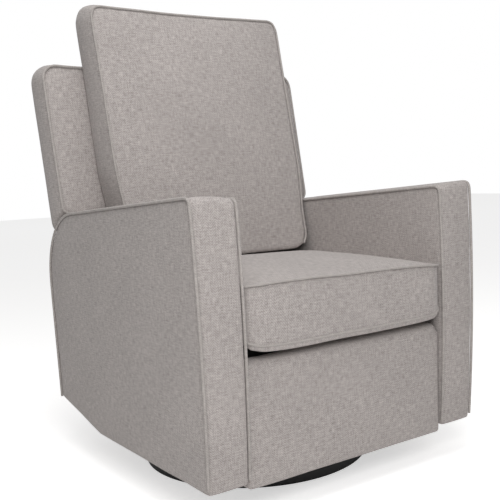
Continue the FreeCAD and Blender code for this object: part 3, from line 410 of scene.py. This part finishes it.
def spaced(low, high, radius, step):
    """Positions from low to high: close together within a radius of each end, then about a step apart."""
    turn = [0, 0.12, 0.3, 0.55, 0.8, 1.0] if radius > 0 else [0]
    starts = [low + radius * t for t in turn]
    ends = [high - radius * t for t in reversed(turn)]
    count = max(1, round((high - low - 2 * radius) / step))
    middle = list(np.linspace(starts[-1], ends[0], count + 1))[1:-1]
    return starts + middle + ends


def block(across, deep, tall):
    """The closed skin of a box: its points by lattice place, and its faces, seen from outside."""
    sizes = (len(across) - 1, len(deep) - 1, len(tall) - 1)
    index, points, faces, sides = {}, [], [], []

    def at(i, j, k):
        if (i, j, k) not in index:
            index[i, j, k] = len(points)
            points.append((across[i], deep[j], tall[k]))
        return index[i, j, k]

    for axis in range(3):
        u, v = [a for a in range(3) if a != axis]
        for far in (False, True):
            for a in range(sizes[u]):
                for b in range(sizes[v]):
                    corners = []
                    for da, db in ((0, 0), (1, 0), (1, 1), (0, 1)):
                        place = [0, 0, 0]
                        place[axis] = sizes[axis] if far else 0
                        place[u], place[v] = a + da, b + db
                        corners.append(at(*place))
                    if far == (axis == 1):
                        corners.reverse()
                    faces.append(corners)
                    sides.append(axis)
    return np.array(points), faces, sides, index, sizes


def lay_cloth(piece, flat_points, sides):
    """Give a piece its UV map in metres: each face takes the two axes that it lies along."""
    layer = piece.data.uv_layers.new(name="UVMap")
    keep = {0: (1, 2), 1: (0, 2), 2: (0, 1)}
    for face in piece.data.polygons:
        u, v = keep[sides[face.index]]
        for corner in face.loop_indices:
            spot = flat_points[piece.data.loops[corner].vertex_index]
            layer.data[corner].uv = (spot[u], spot[v])


def soften(piece):
    """Smooth a piece's small quads with a subdivision surface."""
    smooth = piece.modifiers.new("soften", "SUBSURF")
    smooth.levels = smooth.render_levels = 1


def ripple(points, amount, length, seed):
    """Move points a little, as stretched cloth over foam lies: smooth noise of a given wavelength."""
    moved = points.copy()
    shift = Vector((seed, seed, seed))
    for i, p in enumerate(points):
        moved[i] += np.array(noise.noise_vector(Vector(p) / length + shift)) * amount
    return moved


def upholster(piece, node, body):
    """Soften a covered piece, let it ride on a body, and hide the soft CAD part that it stands for."""
    soften(piece)
    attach(piece, body)
    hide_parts(node)


print("block of one cell:", len(block([0, 1], [0, 1], [0, 1])[1]), "faces")

# %% Slabs


def fine_line(corners, step):
    """Points along a chain of straight runs, about a step apart, with the corners kept."""
    line = []
    for a, b in zip(corners[:-1], corners[1:]):
        count = max(1, round(math.dist(a, b) / step))
        line += [tuple(np.array(a) + (np.array(b) - np.array(a)) * t / count) for t in range(count)]
    return line + [corners[-1]]


def slab(outline, centre, width_steps, ring_steps, place):
    """A closed skin: an outline carried across a width, each end filled by shrinking rings and a ladder.

    A fan of triangles would meet at one point, and subdivision is very slow round such a pole.

    place(point, across, shrink) gives the position of an outline point, where across runs from 0 to 1 over
    the width and shrink from 1 at the outline to 0 at the centre.
    """
    count = len(outline)
    points, faces, sides = [], [], []
    rows = []
    for step in range(width_steps + 1):
        rows.append([len(points) + i for i in range(count)])
        points += [place(p, step / width_steps, 1.0) for p in outline]
    for lower, upper in zip(rows[:-1], rows[1:]):
        for i in range(count):
            j = (i + 1) % count
            faces.append((lower[i], lower[j], upper[j], upper[i]))
            sides.append("rim")
    for end, edge in ((0.0, rows[0]), (1.0, rows[-1])):
        outer = edge
        for ring in range(1, ring_steps):
            shrink = 1 - ring / ring_steps
            inner = [len(points) + i for i in range(count)]
            near = np.array(centre) + (np.array(outline) - np.array(centre)) * shrink
            points += [place(tuple(p), end, shrink) for p in near]
            for i in range(count):
                j = (i + 1) % count
                quad = (outer[i], outer[j], inner[j], inner[i])
                faces.append(quad if end == 1.0 else quad[::-1])
                sides.append("cap")
            outer = inner
        for i in range(count // 2):
            quad = (outer[i], outer[i + 1], outer[-2 - i], outer[-1 - i])
            rung = tuple(dict.fromkeys(quad))
            if len(rung) > 2:
                faces.append(rung if end == 1.0 else rung[::-1])
                sides.append("cap")
    return np.array(points), faces, sides, rows


def bulge(shrink, depth):
    """How far a padded face stands out: nothing at its edge, all of it over most of the middle."""
    return depth * (1 - shrink**5)


def slab_cloth(piece, sides, width_axis):
    """UV map in metres for a slab: its ends lie across its width, its rim by the way each face looks."""
    other = 1 - width_axis
    directions = []
    for face in piece.data.polygons:
        if sides[face.index] == "cap":
            directions.append(width_axis)
        else:
            directions.append(other if abs(face.normal[other]) > abs(face.normal.z) else 2)
    lay_cloth(piece, [v.co for v in piece.data.vertices], directions)


# %% [markdown]
# ## Piping
# Every main seam carries a welt: a cord about 6 mm thick in bias-cut cover cloth. It follows a seam, so
# Geometry Nodes sweep it. The tree takes a line of points, a cord radius and a material, sweeps a ring along
# the line and stores a UV map from the length along the cord and the way round it.

# %% The piping tree
WELT_RADIUS = 3.2 * MM
WELT_STEP = 5 * MM


def piping_tree():
    """A Geometry Nodes tree that turns a line of points into a fabric-covered cord."""
    tree = bpy.data.node_groups.new("piping", "GeometryNodeTree")
    for name, kind, value in (
        ("Geometry", "NodeSocketGeometry", None),
        ("Cord Radius", "NodeSocketFloat", WELT_RADIUS),
        ("Step", "NodeSocketFloat", WELT_STEP),
        ("Cloth", "NodeSocketMaterial", welt_cloth),
    ):
        socket = tree.interface.new_socket(name, in_out="INPUT", socket_type=kind)
        if value is not None:
            socket.default_value = value
    tree.interface.new_socket("Geometry", in_out="OUTPUT", socket_type="NodeSocketGeometry")
    source = add(tree, "NodeGroupInput")
    even_line = {"Curve": source.outputs["Geometry"], "Length": source.outputs["Step"]}
    line = add(tree, "GeometryNodeResampleCurve", even_line, mode="LENGTH")
    section = {"Resolution": 10, "Radius": source.outputs["Cord Radius"]}
    ring = add(tree, "GeometryNodeCurvePrimitiveCircle", section)
    # The lengths along the cord and round it are kept on the points, because the sweep forgets them.
    kept = {}
    for name, curve in (("run", line), ("turn", ring)):
        length = add(tree, "GeometryNodeSplineParameter").outputs["Length"]
        kept[name] = add(tree, "GeometryNodeCaptureAttribute", {"Geometry": curve}, domain="POINT")
        kept[name].capture_items.new("FLOAT", name)
        tree.links.new(length, kept[name].inputs[name])
    ends = {"Curve": kept["run"], "Profile Curve": kept["turn"], "Fill Caps": True}
    sweep = add(tree, "GeometryNodeCurveToMesh", ends)
    lengths = {"X": kept["turn"].outputs["turn"], "Y": kept["run"].outputs["run"]}
    spot = add(tree, "ShaderNodeCombineXYZ", lengths)
    layout = {"Geometry": sweep, "Name": "UVMap", "Value": spot}
    laid = add(tree, "GeometryNodeStoreNamedAttribute", layout, data_type="FLOAT2", domain="CORNER")
    smooth = add(tree, "GeometryNodeSetShadeSmooth", {"Geometry": laid})
    solid = add(tree, "GeometryNodeRealizeInstances", {"Geometry": smooth})
    clad = add(tree, "GeometryNodeSetMaterial", {"Geometry": solid, "Material": source.outputs["Cloth"]})
    add(tree, "NodeGroupOutput", {"Geometry": clad})
    return tree


welting = piping_tree()


def plain_mesh(name, source):
    """The evaluated shape of an object as a plain mesh object, and the source removed."""
    graph = bpy.context.evaluated_depsgraph_get()
    shape = bpy.data.meshes.new_from_object(source.evaluated_get(graph))
    shape.name = name
    bpy.data.objects.remove(source)
    made = bpy.data.objects.new(name, shape)
    bpy.context.scene.collection.objects.link(made)
    return made


def piping(name, body, runs, radius=WELT_RADIUS):
    """Welts along several lines of points; a line given as (points, True) closes on itself."""
    curve = bpy.data.curves.new(name + "_line", "CURVE")
    curve.dimensions = "3D"
    for points, closed in runs:
        spline = curve.splines.new("POLY")
        spline.points.add(len(points) - 1)
        spline.points.foreach_set("co", [c for p in points for c in (*p, 1.0)])
        spline.use_cyclic_u = closed
    line = bpy.data.objects.new(name + "_line", curve)
    bpy.context.scene.collection.objects.link(line)
    sweep = line.modifiers.new("piping", "NODES")
    sweep.node_group = welting
    inputs = [item for item in welting.interface.items_tree if item.in_out == "INPUT"]
    sockets = {item.name: item.identifier for item in inputs}
    sweep[sockets["Cord Radius"]] = radius
    cord = plain_mesh(name, line)
    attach(cord, body)
    print(name, len(cord.data.vertices), "points")


def eased(points):
    """A line of points with its sharp corners rounded off, its ends kept."""
    line = np.array(points, float)
    for _ in range(2):
        middle = (line[:-2] + 2 * line[1:-1] + line[2:]) / 4
        line = np.vstack([line[:1], middle, line[-1:]])
    return line


# %% [markdown]
# ## Arms
# An arm is a timber frame wrapped in foam and cover. Its top falls towards the rear and rolls down over the
# rear corner, its front bows forward, and its outer side leans in towards the floor. The top is crowned, with
# its inner seam a little lower than its outer one. One strip of cloth covers the front and the top, and
# piping runs along both its edges, from the front foot up, back along the top and down the rear.

# %% Arm covers
FRONT_EDGE = 13 * MM
FRONT_BOW = 9 * MM
SIDE_LEAN = 5 * MM
INNER_DROP = 7 * MM
TOP_CROWN = 4 * MM
FRONT_CROWN = 3 * MM
OUTER_PAD = 5 * MM
INNER_PAD = 1.5 * MM
ARM_STEP = 11 * MM
ARM_FALL = math.radians(3.9)
ROLL_RADIUS = 185 * MM
HEEL_Y = 130 * MM
BOW_REACH = 60 * MM

arm_front = arm_low.y
arm_rear = arm_high.y
arm_foot = arm_low.z
top_front = arm_high.z
heel_z = rear_low.z
roll_y = arm_rear - ROLL_RADIUS
roll_z = top_front - math.tan(ARM_FALL) * (roll_y - arm_front) - ROLL_RADIUS / math.cos(ARM_FALL)


def arm_outline():
    """The arm's side outline as (y, z) points from the front foot round, and the place of its heel."""
    roll = [
        (roll_y + ROLL_RADIUS * math.cos(a), roll_z + ROLL_RADIUS * math.sin(a))
        for a in np.linspace(0, math.pi / 2 - ARM_FALL, 24)
    ]
    edge_y = arm_front + FRONT_EDGE
    edge_z = top_front - math.tan(ARM_FALL) * FRONT_EDGE - FRONT_EDGE / math.cos(ARM_FALL)
    edge = [
        (edge_y + FRONT_EDGE * math.cos(a), edge_z + FRONT_EDGE * math.sin(a))
        for a in np.linspace(math.pi / 2 - ARM_FALL, math.pi, 6)
    ]
    rise = edge[:-1] + [(arm_front, z) for z in np.linspace(edge_z, arm_foot, 50)]
    bottom = fine_line([(arm_front, arm_foot), (HEEL_Y, arm_foot), (arm_rear, heel_z), roll[0]], ARM_STEP)
    top = fine_line([roll[-1], edge[0]], ARM_STEP)
    outline = bottom[:-1] + roll[:-1] + top[:-1] + rise[:-1]
    return outline, next(i for i, p in enumerate(outline) if abs(p[0] - arm_rear) < 1e-6)


arm_side, heel = arm_outline()
arm_centre = (0.0, (arm_foot + top_front) / 2)
inner_x = arm_low.x
outer_x = arm_high.x


def arm_place(sign):
    """Where an arm's point goes: sign is 1 for the right arm and -1 for the left."""

    def place(point, across, shrink):
        y, z = point
        rise = (z - arm_foot) / (top_front - arm_foot)
        crown = 4 * across * (1 - across)
        on_rim = shrink == 1.0
        near_front = max(0.0, 1 - (y - arm_front) / BOW_REACH)
        near_top = max(0.0, min(1.0, (z - 0.50) / 0.10))
        y -= FRONT_BOW * 4 * rise * (1 - rise) * near_front
        before_roll = max(0.0, min(1.0, (0.36 - y) / 0.2))
        z -= INNER_DROP * (1 - across) * near_top * before_roll
        if on_rim and point[1] > roll_z and point[0] > arm_front + FRONT_EDGE:
            turn = max(ARM_FALL, math.atan2(point[0] - roll_y, point[1] - roll_z))
            y += TOP_CROWN * crown * math.sin(turn) * math.cos(turn)
            z += TOP_CROWN * crown * math.cos(turn)
        elif on_rim and point[0] < arm_front + FRONT_EDGE:
            turn = max(0.0, point[1] - top_front + 2 * FRONT_EDGE) / (2 * FRONT_EDGE)
            y -= FRONT_CROWN * crown
            z += TOP_CROWN * crown * min(1.0, turn)
        x = inner_x + (outer_x - SIDE_LEAN * (1 - rise) - inner_x) * across
        x += bulge(shrink, OUTER_PAD) if across == 1.0 else 0
        x -= bulge(shrink, INNER_PAD) if across == 0.0 else 0
        return (sign * x, y, z)

    return place


def make_arm(side, sign):
    """One arm's cover and its piping."""
    points, faces, sides, rows = slab(arm_side, arm_centre, 9, 16, arm_place(sign))
    if sign > 0:
        faces = [f[::-1] for f in faces]
    inner_seam, outer_seam = points[rows[0]], points[rows[-1]]
    points = ripple(points, 0.8 * MM, 0.09, 3.0 + sign)
    cover = mesh_piece(f"arm_cover_{side}", points, faces)
    slab_cloth(cover, sides, 0)
    cover.data.materials.append(cover_cloth)
    upholster(cover, f"arm_shell_{side}", "seat")
    piping(f"arm_piping_{side}", "seat", [(eased(seam[heel:]), False) for seam in (inner_seam, outer_seam)])
    return cover


for side, sign in (("right", 1), ("left", -1)):
    made = make_arm(side, sign)
    print(made.name, len(made.data.polygons), "quads")

# %% [markdown]
# ## The T-shaped back
# The back frame is as wide as the chair above the arms and as narrow as the seat between them. Its wings
# stand on the arms' rolled rear corners, so their undersides follow the same arc a little further out. It is
# wrapped tight, with piping round the border of its front face.

# %% Back cover
BACK_STEP = 14 * MM
BACK_CORNER = 38 * MM
BACK_PAD = 6 * MM
EDGE_CROWN = 7 * MM
BACK_EAR = 7 * MM
FOOT_CORNER = 20 * MM
WING_CLEAR = 6 * MM
STEM_BLEND = 100 * MM

back_tilt = math.radians(10.32)
back_thick = 92 * MM
back_face_at_pivot = 206.4 * MM
back_middle_z = 0.70
wing_x = back_high.x
stem_x = arm_low.x - 5 * MM
wing_radius = ROLL_RADIUS + WING_CLEAR


def back_y(z, depth):
    """The Y of a plane parallel to the back's front face, a depth behind it, at a height."""
    return back_face_at_pivot + math.tan(back_tilt) * (z - pivot_z) + depth / math.cos(back_tilt)


def wing_foot(depth):
    """The height of a wing's underside at a depth behind the front face."""
    z = roll_z + wing_radius
    for _ in range(20):
        z = roll_z + math.sqrt(max(0.0, wing_radius**2 - (back_y(z, depth) - roll_y) ** 2))
    return z


WING_FOOT = wing_foot(0)


def back_outline():
    """Half the T from the middle of its foot to the middle of its top, mirrored to a whole outline."""
    corner_x, corner_z = wing_x - BACK_CORNER, back_high.z - BACK_CORNER
    corner = [
        (corner_x + BACK_CORNER * math.cos(a), corner_z + BACK_CORNER * math.sin(a))
        for a in np.linspace(0, math.pi / 2, 8)
    ]
    foot_x, foot_z = wing_x - FOOT_CORNER, WING_FOOT + FOOT_CORNER
    foot_corner = [
        (foot_x + FOOT_CORNER * math.sin(a), foot_z - FOOT_CORNER * math.cos(a))
        for a in np.linspace(0, math.pi / 2, 5)
    ]
    stem = [(0, back_low.z), (stem_x, back_low.z), (stem_x, WING_FOOT), foot_corner[0]]
    under = fine_line(stem, BACK_STEP)
    side = fine_line([foot_corner[-1], corner[0]], BACK_STEP)
    up = under[:-1] + foot_corner[:-1] + side
    over = fine_line([corner[-1], (0, back_high.z)], BACK_STEP)
    half = up[:-1] + corner[:-1] + over
    mirror = [(-x, z) for x, z in reversed(half[1:-1])]
    return half + mirror


def back_place(point, across, shrink):
    """Where a point of the back goes; across runs from the front face to the rear."""
    x, z = point
    depth = back_thick * across
    reach = min(1.0, max(0.0, (abs(x) - stem_x + STEM_BLEND) / STEM_BLEND))
    end = back_high.z if z > WING_FOOT else back_low.z
    share = (z - end) / (WING_FOOT - end)
    z += (wing_foot(depth) - WING_FOOT) * share * reach
    rise = max(0.0, (point[1] - WING_FOOT) / (back_high.z - WING_FOOT))
    z += BACK_EAR * abs(point[0] / wing_x) ** 6 * rise**4
    crown = 4 * across * (1 - across) * EDGE_CROWN
    if shrink == 1.0 and point[1] > back_high.z - BACK_CORNER:
        z += crown * (point[1] - back_high.z + BACK_CORNER) / BACK_CORNER
    if shrink == 1.0 and abs(point[0]) > wing_x - BACK_CORNER and point[1] > WING_FOOT + 1e-6:
        x += math.copysign(crown * (abs(point[0]) - wing_x + BACK_CORNER) / BACK_CORNER, x)
    if across == 0.0:
        depth -= bulge(shrink, BACK_PAD)
    elif across == 1.0:
        depth += bulge(shrink, BACK_PAD)
    return (x, back_y(z, depth), z)


back_line = back_outline()
points, faces, sides, rows = slab(back_line, (0.0, back_middle_z), 7, 18, back_place)
front_seam = points[rows[0]]
points = ripple(points, 0.8 * MM, 0.11, 9.0)
back_cover = mesh_piece("back_cover", points, faces)
slab_cloth(back_cover, sides, 1)
back_cover.data.materials.append(cover_cloth)
upholster(back_cover, "back_shell", "back")
piping("back_piping", "back", [(front_seam, True)])
print("back cover", len(back_cover.data.polygons), "quads")

# %% [markdown]
# ## Footrest panel and outside rear panel
# The footrest is a plywood board in a foam sleeve. Folded, it hangs between the arms as the chair's front
# panel, with a soft roll along its top edge under the seat cushion. The rear panel closes the seat box.

# %% Panels


def rounded_points(points, low, high, radii):
    """Round the edges of a box's points: radii gives the edge radius for the top and for the rest."""
    top, rest = radii
    moved = points.copy()
    for i, p in enumerate(points):
        radius = top if p[2] > high[2] - top else rest
        inner = np.minimum(np.maximum(p, np.array(low) + radius), np.array(high) - radius)
        away = p - inner
        reach = np.linalg.norm(away)
        if reach > 0:
            moved[i] = inner + away * (radius / reach)
    return moved


PANEL_STEP = 12 * MM
PANEL_SPREAD = 2.5 * MM


def padded_panel(name, low, high, radii, swell):
    """A panel with rounded edges whose broad faces swell a little."""
    top, rest = radii
    across = spaced(low[0], high[0], rest, PANEL_STEP)
    deep = spaced(low[1], high[1], min(top, (high[1] - low[1]) / 2 - 0.1 * MM), PANEL_STEP)
    tall = spaced(low[2], high[2], top, PANEL_STEP)
    points, faces, sides, _, _ = block(across, deep, tall)
    shaped = rounded_points(points, low, high, radii)
    middle = (np.array(low) + np.array(high)) / 2
    half = (np.array(high) - np.array(low)) / 2
    share = (shaped - middle) / half
    fade = (1 - share[:, 0] ** 6) * (1 - share[:, 2] ** 6)
    shaped[:, 1] += share[:, 1] * swell * fade
    shaped = ripple(shaped, 0.7 * MM, 0.1, 5.0)
    piece = mesh_piece(name, shaped, faces)
    lay_cloth(piece, points, sides)
    piece.data.materials.append(cover_cloth)
    return piece


panel_side = Vector((PANEL_SPREAD, 0, 0))
panel_from, panel_to = panel_low - panel_side, panel_high + panel_side
footrest_cover = padded_panel("footrest_cover", panel_from, panel_to, (21 * MM, 9 * MM), 4 * MM)
upholster(footrest_cover, "footrest_pad", "footrest")
rear_cover = padded_panel("rear_panel_cover", rear_low, rear_high, (7 * MM, 5 * MM), 2 * MM)
upholster(rear_cover, "rear_panel", "seat")
print("panels:", footrest_cover.name, rear_cover.name)

# %% [markdown]
# ## Seat cushion and back pillow
# Both are box cushions: two panels joined by a boxing strip, with piping at the seams. They are shaped by
# Blender's cloth: a skin of small quads is held at its seams and blown up a little from inside, as a foam
# core fills its cover. The skin is our own lattice and isn't remeshed, so the seams stay known rows of
# points that the piping can follow.

# %% Cushion skins
CELL = 12.5 * MM


def seam_row(index, sizes, axis, level):
    """The closed row of lattice points round a box at one level of an axis, in order."""
    u, v = [a for a in range(3) if a != axis]
    path = [(i, 0) for i in range(sizes[u])]
    path += [(sizes[u], j) for j in range(sizes[v])]
    path += [(i, sizes[v]) for i in range(sizes[u], 0, -1)]
    path += [(0, j) for j in range(sizes[v], 0, -1)]
    row = []
    for a, b in path:
        place = [0, 0, 0]
        place[axis], place[u], place[v] = level, a, b
        row.append(index[tuple(place)])
    return row


def even(low, high, step=CELL):
    """Evenly spaced positions from low to high."""
    return list(np.linspace(low, high, max(2, round((high - low) / step)) + 1))


def round_plan(points, u, v, low, high, radius):
    """Round the four corners that a box shows along its third axis."""
    moved = points.copy()
    for i, p in enumerate(points):
        a = min(max(p[u], low[u] + radius), high[u] - radius)
        b = min(max(p[v], low[v] + radius), high[v] - radius)
        away = np.array([p[u] - a, p[v] - b])
        reach = np.linalg.norm(away)
        square = max(abs(away[0]), abs(away[1]))
        if reach > 0:
            moved[i, u] = a + away[0] * square / reach
            moved[i, v] = b + away[1] * square / reach
    return moved


FRAMES = 20
PRESSURE = 3.0


def points_of(mesh):
    """The points of a mesh as rows of an array."""
    flat_list = np.empty(len(mesh.vertices) * 3)
    mesh.vertices.foreach_get("co", flat_list)
    return flat_list.reshape(-1, 3)


def move_points(piece, points):
    """Put a piece's points in new places."""
    piece.data.vertices.foreach_set("co", points.ravel())
    piece.data.update()


def blow_up(jobs):
    """Fill cushion skins with cloth pressure; jobs holds (piece, held points, cap in metres)."""
    scene = bpy.context.scene
    scene.frame_set(1)
    for piece, held, cap in jobs:
        group = piece.vertex_groups.new(name="seams")
        group.add([int(i) for i in held], 1.0, "REPLACE")
        cloth = piece.modifiers.new("filling", "CLOTH")
        settings = cloth.settings
        settings.quality = 6
        settings.mass = 0.25
        settings.tension_stiffness = settings.compression_stiffness = 18
        settings.shear_stiffness = 8
        settings.bending_stiffness = 4
        settings.use_pressure = True
        settings.uniform_pressure_force = PRESSURE
        settings.effector_weights.gravity = 0
        settings.vertex_group_mass = "seams"
        settings.pin_stiffness = 50
        cloth.point_cache.frame_start = 1
        cloth.point_cache.frame_end = FRAMES
        cloth.collision_settings.use_collision = False
    for number in range(1, FRAMES + 1):
        scene.frame_set(number)
    graph = bpy.context.evaluated_depsgraph_get()
    for piece, held, cap in jobs:
        start = points_of(piece.data)
        move = points_of(piece.evaluated_get(graph).data) - start
        length = np.linalg.norm(move, axis=1)
        allowed = cap * np.tanh(length / cap)
        move *= (allowed / np.maximum(length, 1e-9))[:, None]
        piece.modifiers.remove(piece.modifiers["filling"])
        piece.vertex_groups.clear()
        move_points(piece, start + move)
        print(piece.name, "swelled by up to", round(float(length.max()) * 1000, 1), "mm")
    scene.frame_set(1)


# %% Seat cushion skin
SEAT_WELT_LIFT = 13 * MM
SEAT_CORNER = 42 * MM
SEAT_REAR_CORNER = 16 * MM
SEAT_REAR_PUSH = 6 * MM
SEAT_CROWN = 20 * MM
SEAT_SPREAD = 5 * MM
TOP_DROP = 6 * MM
SEAT_TILT = 6 * MM
FOOT_LIFT = 9 * MM
LIP_SAG = 21 * MM
LIP_DEPTH = 50 * MM

seat_from = Vector((seat_low.x - SEAT_SPREAD, seat_low.y, seat_low.z))
seat_to = Vector((seat_high.x + SEAT_SPREAD, seat_high.y + SEAT_REAR_PUSH, seat_high.z))
seat_across = even(seat_from.x, seat_to.x)
seat_deep = even(seat_low.y + 3 * MM, seat_to.y)
seat_welt = seat_low.z + SEAT_WELT_LIFT
seat_tall = [seat_low.z, seat_welt] + even(seat_welt, seat_high.z, 12 * MM)[1:]
seat_points, seat_faces, seat_sides, seat_index, seat_sizes = block(seat_across, seat_deep, seat_tall)
seat_middle_y = (seat_low.y + seat_high.y) / 2
seat_shape = np.where(
    (seat_points[:, 1] > seat_middle_y)[:, None],
    round_plan(seat_points, 0, 1, seat_from, seat_to, SEAT_REAR_CORNER),
    round_plan(seat_points, 0, 1, seat_from, seat_to, SEAT_CORNER),
)
share_x = seat_shape[:, 0] / seat_high.x
share_y = np.clip((seat_shape[:, 1] - seat_middle_y) / (seat_high.y - seat_middle_y), -1, 1)
share_z = np.clip((seat_shape[:, 2] - seat_low.z) / (seat_high.z - seat_low.z), 0, 1)
corner = share_x**6 * (share_y < 0) * share_y**2
seat_shape[:, 2] -= TOP_DROP * corner * share_z
seat_shape[:, 2] -= SEAT_TILT * np.clip(share_x, -1, 1) * share_z
seat_shape[:, 2] += FOOT_LIFT * corner * (1 - share_z)
lip = np.clip((seat_low.y + LIP_DEPTH - seat_shape[:, 1]) / LIP_DEPTH, 0, 1)
seat_shape[:, 2] -= LIP_SAG * (lip * lip * (3 - 2 * lip)) * (1 - share_z)
seat_top = share_z > 0.999
seat_shape[seat_top, 2] += SEAT_CROWN * ((1 - share_x**4) * (1 - share_y**4))[seat_top]
seat_cushion = mesh_piece("seat_cushion_cover", seat_shape, seat_faces)
lay_cloth(seat_cushion, seat_points, seat_sides)
seat_cushion.data.materials.append(cover_cloth)
seat_top_row = seam_row(seat_index, seat_sizes, 2, seat_sizes[2])
seat_low_row = seam_row(seat_index, seat_sizes, 2, 1)
seat_floor = [i for (a, b, c), i in seat_index.items() if c == 0]
print("seat cushion skin", len(seat_faces), "quads")

# %% Back pillow skin
PILLOW_FOOT_CORNER = 46 * MM
PILLOW_HEAD_CORNER = 30 * MM
EAR = 3 * MM
DIP = 4 * MM
HEAD_SPREAD = 10 * MM
HEAD_RISE = 18 * MM
FOOT_DROP = 5 * MM
BOX_CROWN = 12 * MM
ARMS_TOP = 0.60
SPREAD_OVER = 0.12

pillow_thick = 124 * MM
pillow_across = even(pillow_low.x + 2 * MM, pillow_high.x - 2 * MM)
pillow_deep = even(0, 1, 0.12)
pillow_tall = even(pillow_low.z, pillow_high.z)
flat, pillow_faces, pillow_sides, pillow_index, pillow_sizes = block(pillow_across, pillow_deep, pillow_tall)
pillow_points = flat.copy()
pillow_points[:, 1] = flat[:, 1] * pillow_thick


def pillow_plan(points):
    """Round the pillow's foot corners more than its head corners, and give its head small ears."""
    middle = (pillow_low.z + pillow_high.z) / 2
    foot = round_plan(points, 0, 2, pillow_low, pillow_high, PILLOW_FOOT_CORNER)
    head = round_plan(points, 0, 2, pillow_low, pillow_high, PILLOW_HEAD_CORNER)
    shaped = np.where((points[:, 2] < middle)[:, None], foot, head)
    x = shaped[:, 0] / pillow_high.x
    rise = np.clip((shaped[:, 2] - middle) / (pillow_high.z - middle), 0, 1)
    shaped[:, 2] -= DIP * (1 - x**2) * rise**3
    shaped[:, 2] += EAR * np.abs(x) ** 8 * rise**4
    clear_of_arms = np.clip((shaped[:, 2] - ARMS_TOP) / SPREAD_OVER, 0, 1)
    shaped[:, 0] += HEAD_SPREAD * x * clear_of_arms
    shaped[:, 2] += HEAD_RISE * rise
    fall = np.clip((middle - points[:, 2]) / (middle - pillow_low.z), 0, 1)
    shaped[:, 2] -= FOOT_DROP * fall**2
    boxing = 4 * points[:, 1] * (1 - points[:, 1])
    at_top = points[:, 2] > pillow_high.z - 1e-6
    at_side = np.abs(points[:, 0]) > pillow_high.x - 3 * MM
    shaped[:, 2] += BOX_CROWN * boxing * at_top
    shaped[:, 0] += 0.6 * BOX_CROWN * boxing * at_side * np.sign(x) * clear_of_arms
    return shaped


pillow_shape = pillow_plan(flat)
front_lean = math.tan(back_tilt + math.radians(1.55))
foot_front = back_y(pillow_low.z, -0.5 * MM) - pillow_thick / math.cos(back_tilt)
for i, (x, depth, z) in enumerate(pillow_shape):
    rear = back_y(z, -5 * MM)
    front = foot_front + front_lean * (z - pillow_low.z)
    pillow_shape[i, 1] = front + (rear - front) * depth
back_pillow = mesh_piece("back_pillow", pillow_shape, pillow_faces)
lay_cloth(back_pillow, pillow_points, pillow_sides)
back_pillow.data.materials.append(cover_cloth)
pillow_front_row = seam_row(pillow_index, pillow_sizes, 1, 0)
pillow_rear_row = seam_row(pillow_index, pillow_sizes, 1, pillow_sizes[1])
print("back pillow skin", len(pillow_faces), "quads")

# %% [markdown]
# ## Filling the cushions
# The seat is a firm foam core: it crowns about 20 mm. The pillow is softer and rounder. Seams are held,
# because their piping and the boxing strip keep them in line; everything between them swells.

# %% Fill both cushions
blow_up(
    [
        (seat_cushion, seat_top_row + seat_low_row + seat_floor, 20 * MM),
        (back_pillow, pillow_front_row + pillow_rear_row, 26 * MM),
    ]
)


def dress_cushion(piece, node, body, rows, seed):
    """Settle a filled cushion's cloth, put it on its body and sew its piping on."""
    points = ripple(points_of(piece.data), 1.6 * MM, 0.12, seed)
    move_points(piece, points)
    upholster(piece, node, body)
    middle = points.mean(axis=0)
    runs = []
    for row in rows:
        line = points[row]
        outward = line - middle
        outward[:, 2] = 0 if node == "seat_cushion" else outward[:, 2]
        outward /= np.linalg.norm(outward, axis=1)[:, None]
        line += outward * 0.2 * MM
        if node == "back_cushion":
            # The pillow stands on its foot, where the seam has no piping.
            foot = line[:, 2] < line[:, 2].min() + 12 * MM
            start = int(np.argmax(np.logical_and(foot, ~np.roll(foot, -1))))
            line, foot = np.roll(line, -start, axis=0), np.roll(foot, -start)
            runs.append((line[~foot], False))
        else:
            runs.append((line, True))
    piping(f"{piece.name}_piping", body, runs, CUSHION_WELT_RADIUS)


CUSHION_WELT_RADIUS = 2.8 * MM
dress_cushion(seat_cushion, "seat_cushion", "seat", [seat_top_row, seat_low_row], 21.0)
dress_cushion(back_pillow, "back_cushion", "back", [pillow_front_row], 33.0)
